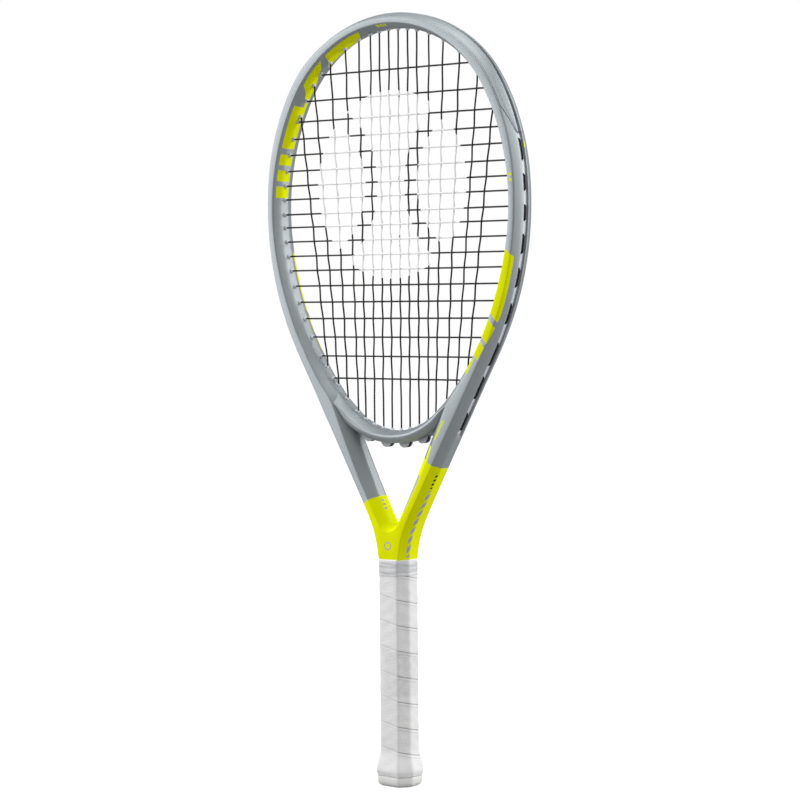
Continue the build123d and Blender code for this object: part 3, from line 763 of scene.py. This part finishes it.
# ---- handle: the section's half sizes and flats, and how wide the butt's flare is, are the CAD's
GRIP_X = 17.3
GRIP_Y = 15.3
GRIP_FLAT_X = 10.0
GRIP_FLAT_Y = 6.0
FLARE = 3.0
FLARE_BOTTOM = 12.0
FLARE_TOP = 34.0
WRAP_PROUD = 0.8  # the wrap, being soft, stands this much outside the flare
GRIP_BOTTOM = 9.5
TAPE_BOTTOM = 191.0
TAPE_TOP = 205.0
TAPE_TILT = 0.25  # the tape's upper edge goes up and down by this much
TAPE_RINGS = 60
WRAP_PITCH = 22.85
WRAP_PHASE = 17.2
WRAP_STEP = 0.55
LAP_HEIGHT = 0.22
PILLOW_HEIGHT = 0.14
SEAM_DEPTH = 0.20
ROUNDING = 34  # the higher it is, the sharper the section's corners are
DOORWAY = (8.0, 6.0)  # half sizes of the opening in the cap and of the recess round it
RECESS = (10.3, 8.3)
DOOR_ROUNDING = 12
CAP_RADIUS = 5.4
DIRECTIONS = [2 * pi * j / 192 for j in range(192)]
CREASES = np.random.default_rng(7).uniform(-1, 1, (14, 4))


def octagon_reach(half_x, half_y, turn):
    """Distance from the axis to a handle section with rounded corners, in one direction."""
    flat_x = half_x * GRIP_FLAT_X / GRIP_X
    flat_y = half_y * GRIP_FLAT_Y / GRIP_Y
    bevel = np.array([half_y - flat_y, half_x - flat_x])
    bevel = bevel / np.linalg.norm(bevel)
    offset = bevel @ np.array([half_x, flat_y])
    c, s = abs(cos(turn)), abs(sin(turn))
    terms = (c / half_x, s / half_y, (c * bevel[0] + s * bevel[1]) / offset)
    return sum(term**ROUNDING for term in terms) ** (-1 / ROUNDING)


def rectangle_reach(half_x, half_y, turn):
    """Distance from the axis to a rectangle with rounded corners, in one direction."""
    c, s = abs(cos(turn)), abs(sin(turn))
    return ((c / half_x) ** DOOR_ROUNDING + (s / half_y) ** DOOR_ROUNDING) ** (-1 / DOOR_ROUNDING)


def ring_piece(name, rings):
    """A skin through rings. Each ring is a (distance from the axis, height) pair for every direction."""
    vertices = [(reach * cos(turn), reach * sin(turn), z)
                for ring in rings for turn, (reach, z) in zip(DIRECTIONS, ring)]
    return put_mesh(name, vertices, grid_faces(len(rings), len(DIRECTIONS), closed=True))


def flare_at(z):
    """How much wider the wrap is at a height than along the grip."""
    t = share_between(FLARE_BOTTOM, FLARE_TOP, z)
    lip = keyed(((GRIP_BOTTOM, -0.7), (15.0, 0.1), (20.0, 0.0)), z)
    return (FLARE + WRAP_PROUD) * (1 - t * t * (3 - 2 * t)) + lip


def lap_profile(share):
    """Height of the wrap over one pitch, from the lower edge of a turn up to the next one's."""
    rise = keyed(((0.0, 0.0), (0.035, 1.0)), share)
    fall = keyed(((0.06, 1.0), (0.40, 0.0)), share)
    pillow = PILLOW_HEIGHT * sin(pi * share) ** 0.6
    groove = SEAM_DEPTH * (1 - keyed(((0.0, 0.0), (0.03, 1.0)), min(share, 1 - share)))
    return LAP_HEIGHT * min(rise, fall) + pillow - groove


def grip_reach(z, turn):
    """Distance from the axis to the wrap, with its laps and ripples."""
    grown = flare_at(z)
    base = octagon_reach(GRIP_X + grown, GRIP_Y + grown - 0.1, turn)
    share = ((z + WRAP_PITCH * turn / (2 * pi) + WRAP_PHASE) / WRAP_PITCH) % 1.0
    ripple = 0.06 * sin(z * 0.55 + 3 * sin(turn * 2)) + 0.05 * sin(turn * 9 + z * 0.21)
    ripple += 0.02 * sin(z * 2.3 + 4 * sin(turn * 3 + z * 0.11) + turn * 2)
    return base + lap_profile(share) + ripple


def build_grip():
    """The wrap, tucked in at its lower end."""
    levels = [GRIP_BOTTOM + 0.02]
    while levels[-1] < TAPE_BOTTOM + 2:
        levels.append(levels[-1] + WRAP_STEP)
    rings = []
    for z in levels:
        tuck = keyed(((GRIP_BOTTOM, 0.8), (GRIP_BOTTOM + 0.9, 0.0)), z)
        rings.append([(grip_reach(z, turn) - tuck, z) for turn in DIRECTIONS])
    return ring_piece("grip_wrap_skin", rings)


def tape_reach(z, turn):
    """Distance from the axis to the tape, with its creases and its rounded upper edge."""
    base = octagon_reach(GRIP_X + 0.25, GRIP_Y + 0.25, turn)
    folds = sum(0.03 * a * sin(z * (1.4 + 1.1 * b) + c * 3 + turn * round(d * 2)) for a, b, c, d in CREASES)
    return base + folds - keyed(((TAPE_TOP - 0.7, 0.0), (TAPE_TOP, 0.45)), z)


def build_tape():
    """The tape band, closed towards the handle at both ends."""
    low = TAPE_BOTTOM - 0.8
    rings = [[(tape_reach(low, turn) - 0.7, low) for turn in DIRECTIONS]]
    for i in range(TAPE_RINGS + 1):
        z = TAPE_BOTTOM - 0.7 + (TAPE_TOP - TAPE_BOTTOM + 0.7) * i / TAPE_RINGS
        rings.append([(tape_reach(z, turn), z + TAPE_TILT * sin(turn + 0.7)) for turn in DIRECTIONS])
    rings.append([(tape_reach(TAPE_TOP, turn) - 1.0, TAPE_TOP + 0.02 + TAPE_TILT * sin(turn + 0.7))
                  for turn in DIRECTIONS])
    return ring_piece("finishing_tape_skin", rings)


def level_rings(reach, half_x, half_y, steps):
    """Rings of one section at (height, growth) steps."""
    return [[(reach(half_x + grow, half_y + grow, turn), z) for turn in DIRECTIONS] for z, grow in steps]


def build_cap():
    """The butt's rim with its rounded edge, the doorway in its floor and the ledge inside."""
    ledge = ((2.0, -0.1), (1.9, 0), (0.35, 0), (0.1, 0.15), (0.0, 0.5))
    rings = level_rings(rectangle_reach, *DOORWAY, ((3.2, 0), (2.1, 0), (2.0, 0.1)))
    rings += level_rings(rectangle_reach, *RECESS, ledge)
    edge = []
    for i in range(13):
        turn = pi / 2 * i / 12
        edge.append((CAP_RADIUS * (1 - cos(turn)), -CAP_RADIUS * (1 - sin(turn))))
    edge += [(7.5, 0), (8.9, -0.02), (9.35, -0.35), (GRIP_BOTTOM, -0.9), (GRIP_BOTTOM, -2.2)]
    rings += level_rings(octagon_reach, GRIP_X + FLARE - 0.1, GRIP_Y + FLARE - 0.1, edge)
    piece = ring_piece("butt_cap_skin", rings)
    clean(piece)
    return piece


grip_skin = build_grip()
tape_skin = build_tape()
cap_skin = build_cap()


# ---- materials
class Value:
    """A number in a shader, with arithmetic."""

    def __init__(self, tree, socket):
        self.tree = tree
        self.socket = socket

    def do(self, operation, other=None):
        node = self.tree.nodes.new("ShaderNodeMath")
        node.operation = operation
        for index, value in enumerate((self, other)):
            if isinstance(value, Value):
                self.tree.links.new(value.socket, node.inputs[index])
            elif value is not None:
                node.inputs[index].default_value = value
        return Value(self.tree, node.outputs[0])

    def within(self, low, high):
        return self.above(low) * self.below(high)

    def inverse(self):
        return (self * -1.0) + 1.0


OPERATIONS = {
    "__add__": "ADD", "__sub__": "SUBTRACT", "__mul__": "MULTIPLY", "__truediv__": "DIVIDE",
    "above": "GREATER_THAN", "below": "LESS_THAN", "larger": "MAXIMUM", "smaller": "MINIMUM",
    "absolute": "ABSOLUTE", "root": "SQRT", "remainder": "FLOORED_MODULO", "turn_from": "ARCTAN2",
}
for word, operation in OPERATIONS.items():
    setattr(Value, word, partialmethod(Value.do, operation))


class Paint:
    """A material with its Principled shader, and helpers to fill it. Its x, y and z are in millimetres."""

    def __init__(self, name, **settings):
        self.material = bpy.data.materials.new(name)
        self.material.use_nodes = True
        self.tree = self.material.node_tree
        self.shader = self.tree.nodes["Principled BSDF"]
        for key, value in settings.items():
            self.shader.inputs[key.replace("_", " ").title().replace("Ior", "IOR")].default_value = value
        coordinates = self.tree.nodes.new("ShaderNodeTexCoord")
        self.place = coordinates.outputs["Object"]
        split = self.tree.nodes.new("ShaderNodeSeparateXYZ")
        self.tree.links.new(self.place, split.inputs[0])
        self.x, self.y, self.z = (Value(self.tree, split.outputs[i]) * 1000.0 for i in range(3))

    def noise(self, scale, detail=2.0, roughness=0.5, stretch=None):
        """Soft noise from 0 to 1; stretch multiplies the place along each axis."""
        node = self.tree.nodes.new("ShaderNodeTexNoise")
        place = self.place
        if stretch:
            longer = self.tree.nodes.new("ShaderNodeVectorMath")
            longer.operation = "MULTIPLY"
            longer.inputs[1].default_value = stretch
            self.tree.links.new(place, longer.inputs[0])
            place = longer.outputs[0]
        for key, value in (("Scale", scale), ("Detail", detail), ("Roughness", roughness)):
            node.inputs[key].default_value = value
        self.tree.links.new(place, node.inputs["Vector"])
        return Value(self.tree, node.outputs["Fac"])

    def cells(self, scale):
        """Distance to the nearest of scattered points."""
        node = self.tree.nodes.new("ShaderNodeTexVoronoi")
        node.inputs["Scale"].default_value = scale
        self.tree.links.new(self.place, node.inputs["Vector"])
        return Value(self.tree, node.outputs["Distance"])

    def layer(self, name):
        """A named value that the mesh holds for each point."""
        node = self.tree.nodes.new("ShaderNodeAttribute")
        node.attribute_name = name
        return Value(self.tree, node.outputs["Fac"])

    def mix(self, share, low, high):
        """Between two colours."""
        node = self.tree.nodes.new("ShaderNodeMix")
        node.data_type = "RGBA"
        self.tree.links.new(share.socket, node.inputs["Factor"])
        for name, value in (("A", low), ("B", high)):
            socket = [s for s in node.inputs if s.name == name and s.type == "RGBA"][0]
            if isinstance(value, tuple):
                socket.default_value = (*value, 1.0)
            else:
                self.tree.links.new(value, socket)
        return [s for s in node.outputs if s.type == "RGBA"][0]

    def set(self, name, value):
        socket = value.socket if isinstance(value, Value) else value
        self.tree.links.new(socket, self.shader.inputs[name])

    def bump(self, height, strength, distance):
        node = self.tree.nodes.new("ShaderNodeBump")
        node.inputs["Strength"].default_value = strength
        node.inputs["Distance"].default_value = distance
        self.tree.links.new(height.socket, node.inputs["Height"])
        self.tree.links.new(node.outputs[0], self.shader.inputs["Normal"])


SILVER = (0.313, 0.342, 0.360)
SILVER_DARK = (0.275, 0.303, 0.319)
YELLOW = (0.71, 0.76, 0.0)
LAVENDER = (0.38, 0.37, 0.46)
INK = (0.03, 0.035, 0.05)
LEFT_YELLOW_RUN = 545.0  # the yellow shaft starts here on one arm
RIGHT_YELLOW_RUN = 502.5  # and here on the other
# Marks: where each starts and ends, measured from the hoop's top along the tube. Blocks also have a slant.
INNER_BLOCKS = ((38, 85, -5), (97, 130, -12), (145, 189, 0), (195, 206, 0), (211, 222, 0), (227, 238, 0))
OUTER_BAND = (292.0, 393.5)
BAND_BREAKS = ((352.0, 357.5), (375.0, 379.5))
BAND_END = (397.0, 411.0)
BAND_TAPER = 345.0  # the band gets narrower from here on
TICKS = ((225.5, 228.0), (230.5, 233.0))
SIDE_TICK = (198, 203.5)
TOP_LINES = 12.0
SLIVER = (461, 481)
WEDGE = (488.5, 504)
STRIPE = (518, 558)
BARS = (526, 592)
DASHES = (549, 563)
INK_LINES = (508, 524)
RING_Z = 217.0
RING_RADIUS = 3.3
RING_RUN = 560.0  # the ring is on the shaft only


def lacquer(name):
    """Silver lacquer with a fine speckle: the paint and its silver colour."""
    paint = Paint(name, metallic=0.4, roughness=0.4, coat_weight=0.05, coat_roughness=0.35,
                  specular_tint=(0.45, 0.45, 0.45, 1.0))
    speckle = paint.noise(900.0, 3.0)
    paint.set("Roughness", speckle * 0.10 + 0.38)
    paint.bump(speckle, 0.06, 0.0002)
    return paint, paint.mix((paint.noise(14.0) - 0.35) * 2.2, SILVER_DARK, SILVER)


def any_of(values):
    """1 where any of the values is 1."""
    found = None
    for value in values:
        found = value if found is None else found.larger(value)
    return found


def frame_paint():
    """Silver lacquer, yellow below, with plain marks. Front and back mirror each other crosswise."""
    paint, silver = lacquer("frame_lacquer")
    run = paint.layer("run")
    around = paint.layer("around")
    cross_y = paint.y * (paint.x.above(0.0) * -2.0 + 1.0)
    near = cross_y.below(0.0)
    away = near.inverse()
    outer = around.below(2.5)
    other_arm = cross_y.above(outer * -12.0 + 6.0)
    yellow = run.above(other_arm * (RIGHT_YELLOW_RUN - LEFT_YELLOW_RUN) + LEFT_YELLOW_RUN)
    across = (around - 5.0) * (near * 2.0 - 1.0) + 1.0
    blocks = any_of((run + across * slant).within(start, end) for start, end, slant in INNER_BLOCKS)
    blocks = blocks * around.above(near * -0.7 + 4.0)
    edge_run = run + (around - 3.0) * 4.5
    taper = (edge_run - BAND_TAPER).larger(0.0) * 0.013
    band = edge_run.within(*OUTER_BAND) * (around - taper).above(1.62) * around.below(3.5)
    for place in BAND_BREAKS:
        band = band * edge_run.within(*place).inverse()
    band = band.larger(edge_run.within(*BAND_END) * around.within(2.72, 3.2))
    sliver = run.within(*SLIVER) * (around - (run - SLIVER[0]) * 0.008).within(2.62, 2.78)
    wedge = run.within(*WEDGE) * (around + (run - WEDGE[0]) * 0.012).within(2.95, 3.3)
    ticks = any_of(run.within(*place) for place in TICKS) * around.within(2.2, 2.7)
    top = (run + around * 3.0).remainder(4.6).below(3.0) * run.below(TOP_LINES)
    top = top * around.within(3.12, 3.5) * near
    tick = run.within(*SIDE_TICK) * around.within(0.75, 1.1) * near
    marks = any_of((blocks, top, tick, any_of((band, sliver, wedge, ticks)) * away))
    stripe = run.within(*STRIPE) * around.within(3.0, 3.35)
    bars = (run - around * 12.0).remainder(8.6).below(5.4) * run.within(*BARS) * around.within(0.93, 1.32)
    dashes = (run - DASHES[0]).remainder(5.0).below(2.4) * run.within(*DASHES)
    dashes = dashes * around.within(3.9, 4.7) * near
    up = paint.z - RING_Z
    ring = ((paint.x * paint.x + up * up).root() - RING_RADIUS).absolute().below(0.55) * run.above(RING_RUN)
    lilac = any_of((stripe.larger(bars) * away, dashes, ring))
    ink = (run - around * 5.0).remainder(4.2).below(2.2) * run.within(*INK_LINES)
    ink = ink * around.within(1.08, 1.30) * away
    colour = paint.mix(yellow.larger(marks), silver, YELLOW)
    colour = paint.mix(lilac, colour, LAVENDER)
    colour = paint.mix(ink, colour, INK)
    plain = any_of((yellow, marks, lilac, ink)).inverse()
    paint.set("Base Color", colour)
    paint.set("Metallic", plain * 0.4)
    paint.set("Specular IOR Level", plain * 0.47 + 0.03)
    paint.set("Coat Weight", plain * 0.2)
    return paint.material


def plain_lacquer(name):
    paint, silver = lacquer(name)
    paint.set("Base Color", silver)
    return paint.material


BALL = (4.0, 540.0, 84.0)  # the stencil on the bed: how far left of the middle, height, radius
BALL_SEAM = (96.0, 74.0, 7.0)  # its seams: how far their centres are aside, radius, half width
STENCIL_PATCHY = 0.27  # noise below this leaves the string bare


def string_paint():
    """Black string with a worn white ball stencilled on it from the front."""
    paint = Paint("string_poly", roughness=0.5, specular_ior_level=0.3)
    left, height, radius = BALL
    aside, seam_radius, seam_half = BALL_SEAM
    dx, dz = paint.x + left, paint.z - height
    disc = (dx * dx + dz * dz).root().below(radius)
    gaps = []
    for side in (-1, 1):
        ex = dx + aside * side
        gaps.append(((ex * ex + dz * dz).root() - seam_radius).absolute().below(seam_half))
    white = disc * any_of(gaps).inverse() * paint.y.below(0.35)
    white = white * paint.noise(260.0, 3.0).above(STENCIL_PATCHY)
    paint.set("Base Color", paint.mix(white, (0.004, 0.004, 0.005), (0.80, 0.80, 0.80)))
    paint.set("Roughness", white * 0.3 + 0.33)
    return paint.material


def moulded(name, base, dark, rough=0.45, scale=600.0, bump=0.08):
    """Moulded plastic with a fine texture and slight unevenness."""
    paint = Paint(name, roughness=rough)
    soft = paint.noise(60.0, 3.0)
    paint.set("Base Color", paint.mix((soft - 0.3) * 2.0, dark, base))
    grain = paint.noise(scale, 3.0)
    paint.set("Roughness", grain * 0.2 + (rough - 0.1))
    paint.bump(grain, bump, 0.0003)
    return paint.material


EMBOSS = (82.0, 122.0)  # heights between which the wrap is embossed
EMBOSS_PITCH = 10.0
EMBOSS_ROUND = 17.0  # about the handle's radius
# The wrap's seams: where its painted lines lie, as shares of one pitch: two lines of painted shade along each
# lap seam and one line of painted highlight on the lap's edge.
SEAM_EDGES = (0.978, 0.012)
SECOND_SEAM_SHADE = (0.875, 0.893)
SEAM_HIGHLIGHT = (0.015, 0.06)


def grip_paint():
    """White leather-like wrap: seams drawn as lines of painted shade and painted highlight, streaks, and a
    band of small embossed lozenges with painted shade round them.
    """
    paint = Paint("grip_leather", roughness=0.55, sheen_weight=0.2, sheen_roughness=0.5)
    soft = paint.noise(35.0, 4.0)
    fine = paint.noise(1500.0, 4.0, 0.6)
    pores = paint.cells(420.0)
    streaks = paint.noise(110.0, 3.0, 0.55, stretch=(1.0, 1.0, 5.0))
    angle = paint.y.turn_from(paint.x)
    share = ((paint.z + angle * (WRAP_PITCH / (2 * pi)) + WRAP_PHASE) / WRAP_PITCH).remainder(1.0)
    # Lines of painted shade along each lap seam, and a line of painted highlight on the lap's edge.
    seam_shade = share.above(SEAM_EDGES[0]).larger(share.below(SEAM_EDGES[1]))
    second_seam_shade = share.within(*SECOND_SEAM_SHADE) * 0.7
    seam_highlight = share.within(*SEAM_HIGHLIGHT)
    # side fades the seams' painted shade and highlight from 0.15 on the front facets to 1 on the bevels and
    # side facets, where the light grazes the laps.
    side = (paint.x.absolute() * 0.25 - 1.75).larger(0.15).smaller(1.0)
    colour = paint.mix((soft - 0.3) * 2.0, (0.675, 0.683, 0.677), (0.745, 0.75, 0.74))
    colour = paint.mix((streaks - 0.52) * 0.6, colour, (0.60, 0.605, 0.61))
    colour = paint.mix(seam_highlight * 0.35 * side, colour, (0.86, 0.86, 0.85))
    colour = paint.mix(seam_shade.larger(second_seam_shade) * side * 0.75, colour, (0.25, 0.24, 0.25))
    across = angle * (EMBOSS_ROUND / EMBOSS_PITCH)
    level = paint.z / EMBOSS_PITCH
    lozenge = ((level + across).remainder(1.0) - 0.5).absolute().larger(
        ((level - across).remainder(1.0) - 0.5).absolute())
    patch = paint.z.within(*EMBOSS) * paint.x.above(-4.0) * paint.y.below(12.0)
    raised = (lozenge.within(0.16, 0.32) + lozenge.below(0.07)) * patch
    # Painted shade in the grooves round the raised lozenges.
    emboss_groove_shade = lozenge.within(0.09, 0.17).larger(lozenge.within(0.31, 0.38)) * patch
    colour = paint.mix(emboss_groove_shade * 0.5, colour, (0.42, 0.42, 0.42))
    paint.set("Base Color", colour)
    paint.set("Roughness", fine * 0.25 + 0.42)
    paint.bump(fine * 0.4 + pores * 0.6 + streaks * 0.3 + raised * 3.0, 0.35, 0.0005)
    return paint.material


def tape_paint():
    """Thin pale tape: creased below, with painted shade in the creases, and a smooth edge band above."""
    paint = Paint("tape_vinyl", roughness=0.34, coat_weight=0.2, coat_roughness=0.25)
    band = paint.z.above(TAPE_TOP - 2.4)
    creases = paint.noise(160.0, 4.0, 0.6, stretch=(0.6, 0.6, 3.0))
    # The lower band is darker where the crease noise is low, which is where the bump sinks: painted shade in
    # the creases.
    lower = paint.mix((creases - 0.3) * 2.0, (0.45, 0.455, 0.47), (0.66, 0.665, 0.67))
    upper = paint.mix((creases - 0.3) * 2.0, (0.71, 0.70, 0.74), (0.78, 0.77, 0.80))
    paint.set("Base Color", paint.mix(band, lower, upper))
    paint.bump(creases * band.inverse() + paint.noise(500.0, 3.0) * 0.3, 0.4, 0.0006)
    return paint.material


def steel_paint():
    paint = Paint("staple_steel", metallic=1.0, roughness=0.3)
    paint.set("Base Color", paint.mix(paint.noise(300.0), (0.45, 0.45, 0.46), (0.7, 0.7, 0.7)))
    return paint.material


MATERIALS = {
    "frame": frame_paint(),
    "bridge": plain_lacquer("bridge_lacquer"),
    "string": string_paint(),
    "bumper": plain_lacquer("bumper_gloss"),
    "grommet": moulded("grommet_nylon", (0.62, 0.65, 0.68), (0.54, 0.57, 0.60)),
    "throat_strip": moulded("throat_strip_nylon", (0.36, 0.375, 0.40), (0.30, 0.315, 0.335)),
    "cap": moulded("cap_plastic", (0.74, 0.74, 0.725), (0.69, 0.69, 0.675)),
    "foam": moulded("pallet_foam", (0.62, 0.58, 0.46), (0.5, 0.46, 0.36), 0.8, 300.0, 0.3),
    "grip": grip_paint(),
    "tape": tape_paint(),
    "steel": steel_paint(),
}


def finish_piece(piece, material, slot, *nodes):
    """Give a piece its material, tie it to the racket and hide the CAD nodes that it stands for."""
    piece.data.materials.clear()
    piece.data.materials.append(MATERIALS[material])
    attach(piece, "racket")
    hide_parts(*nodes)


finish_piece(frame_skin, "frame", "frame_paint", "frame")
finish_piece(bridge_skin, "bridge", "frame_paint", "throat_bridge")
finish_piece(bumper_skin, "bumper", "bumper", "head_bumper")
finish_piece(grommet_tips, "grommet", "grommet")
finish_piece(main_strings, "string", "string", "main_string")
finish_piece(cross_strings, "string", "string", "cross_string")
finish_piece(grip_skin, "grip", "grip", "grip_wrap")
finish_piece(tape_skin, "tape", "tape", "finishing_tape")
finish_piece(cap_skin, "cap", "cap_plastic", "butt_cap")
NODE_MATERIALS = (("side_grommets_right", "grommet"), ("side_grommets_left", "grommet"),
                  ("throat_grommets", "throat_strip"), ("butt_cap_staples", "steel"),
                  ("butt_cap_door", "cap"), ("pallet_back", "foam"), ("pallet_front", "foam"))
for node, material in NODE_MATERIALS:
    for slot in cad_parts[node].material_slots:
        slot.material = MATERIALS[material]


# ---- stage
FLOOR_HALF = 14.0
FLOOR_DROP = 0.0003
FLOOR_GLOW = 0.72  # the floor's own light, for the camera only
LIGHT_TARGET = (0, 0, 0.4)
# Soft boxes: name, place, size and watts.
LIGHTS = (("left_box", (-2.05, -1.45, 1.0), (2.8, 3.2), 95),
          ("right_box", (2.0, 1.45, 1.0), (2.6, 3.0), 87),
          ("top_box", (0.2, -0.2, 2.6), (2.0, 2.0), 44))


def add_light(name, place, size, power):
    """A rectangular soft box that faces the racket."""
    data = bpy.data.lights.new(name, "AREA")
    data.shape = "RECTANGLE"
    data.size, data.size_y = size
    data.energy = power
    light = add_object(name, data)
    light.location = place
    light.rotation_euler = (Vector(LIGHT_TARGET) - Vector(place)).to_track_quat("-Z", "Y").to_euler()


def add_floor():
    """Pale paper that looks evenly lit to the camera and grey to everything that it reflects in."""
    mesh = bpy.data.meshes.new("floor")
    corners = [(x * FLOOR_HALF, y * FLOOR_HALF, 0) for x, y in ((-1, -1), (1, -1), (1, 1), (-1, 1))]
    mesh.from_pydata(corners, [], [(0, 1, 2, 3)])
    floor = add_object("floor", mesh)
    paint = Paint("floor_paper", roughness=0.9, emission_color=(1.0, 1.0, 1.0, 1.0))
    paint.material.cycles.emission_sampling = "NONE"
    pale = paint.mix(paint.noise(3.0), (0.93, 0.93, 0.93), (0.95, 0.95, 0.95))
    ray = paint.tree.nodes.new("ShaderNodeLightPath")
    watched = Value(paint.tree, ray.outputs["Is Camera Ray"])
    paint.set("Base Color", paint.mix(watched, (0.36, 0.36, 0.36), pale))
    paint.set("Emission Strength", watched * FLOOR_GLOW)
    mesh.materials.append(paint.material)
    floor.location.z = -FLOOR_DROP


def add_world():
    """White to the camera and a weaker, even light to everything else."""
    world = bpy.data.worlds.new("studio")
    world.use_nodes = True
    bpy.context.scene.world = world
    nodes, links = world.node_tree.nodes, world.node_tree.links
    dim = nodes["Background"]
    dim.inputs["Color"].default_value = (1.0, 1.0, 1.0, 1.0)
    dim.inputs["Strength"].default_value = 0.30
    white = nodes.new("ShaderNodeBackground")
    white.inputs["Color"].default_value = (1.0, 1.0, 1.0, 1.0)
    ray = nodes.new("ShaderNodeLightPath")
    choose = nodes.new("ShaderNodeMixShader")
    links.new(ray.outputs["Is Camera Ray"], choose.inputs[0])
    links.new(dim.outputs[0], choose.inputs[1])
    links.new(white.outputs[0], choose.inputs[2])
    links.new(choose.outputs[0], nodes["World Output"].inputs["Surface"])


add_floor()
add_world()
for light in LIGHTS:
    add_light(*light)
bpy.context.scene.view_settings.view_transform = "Standard"
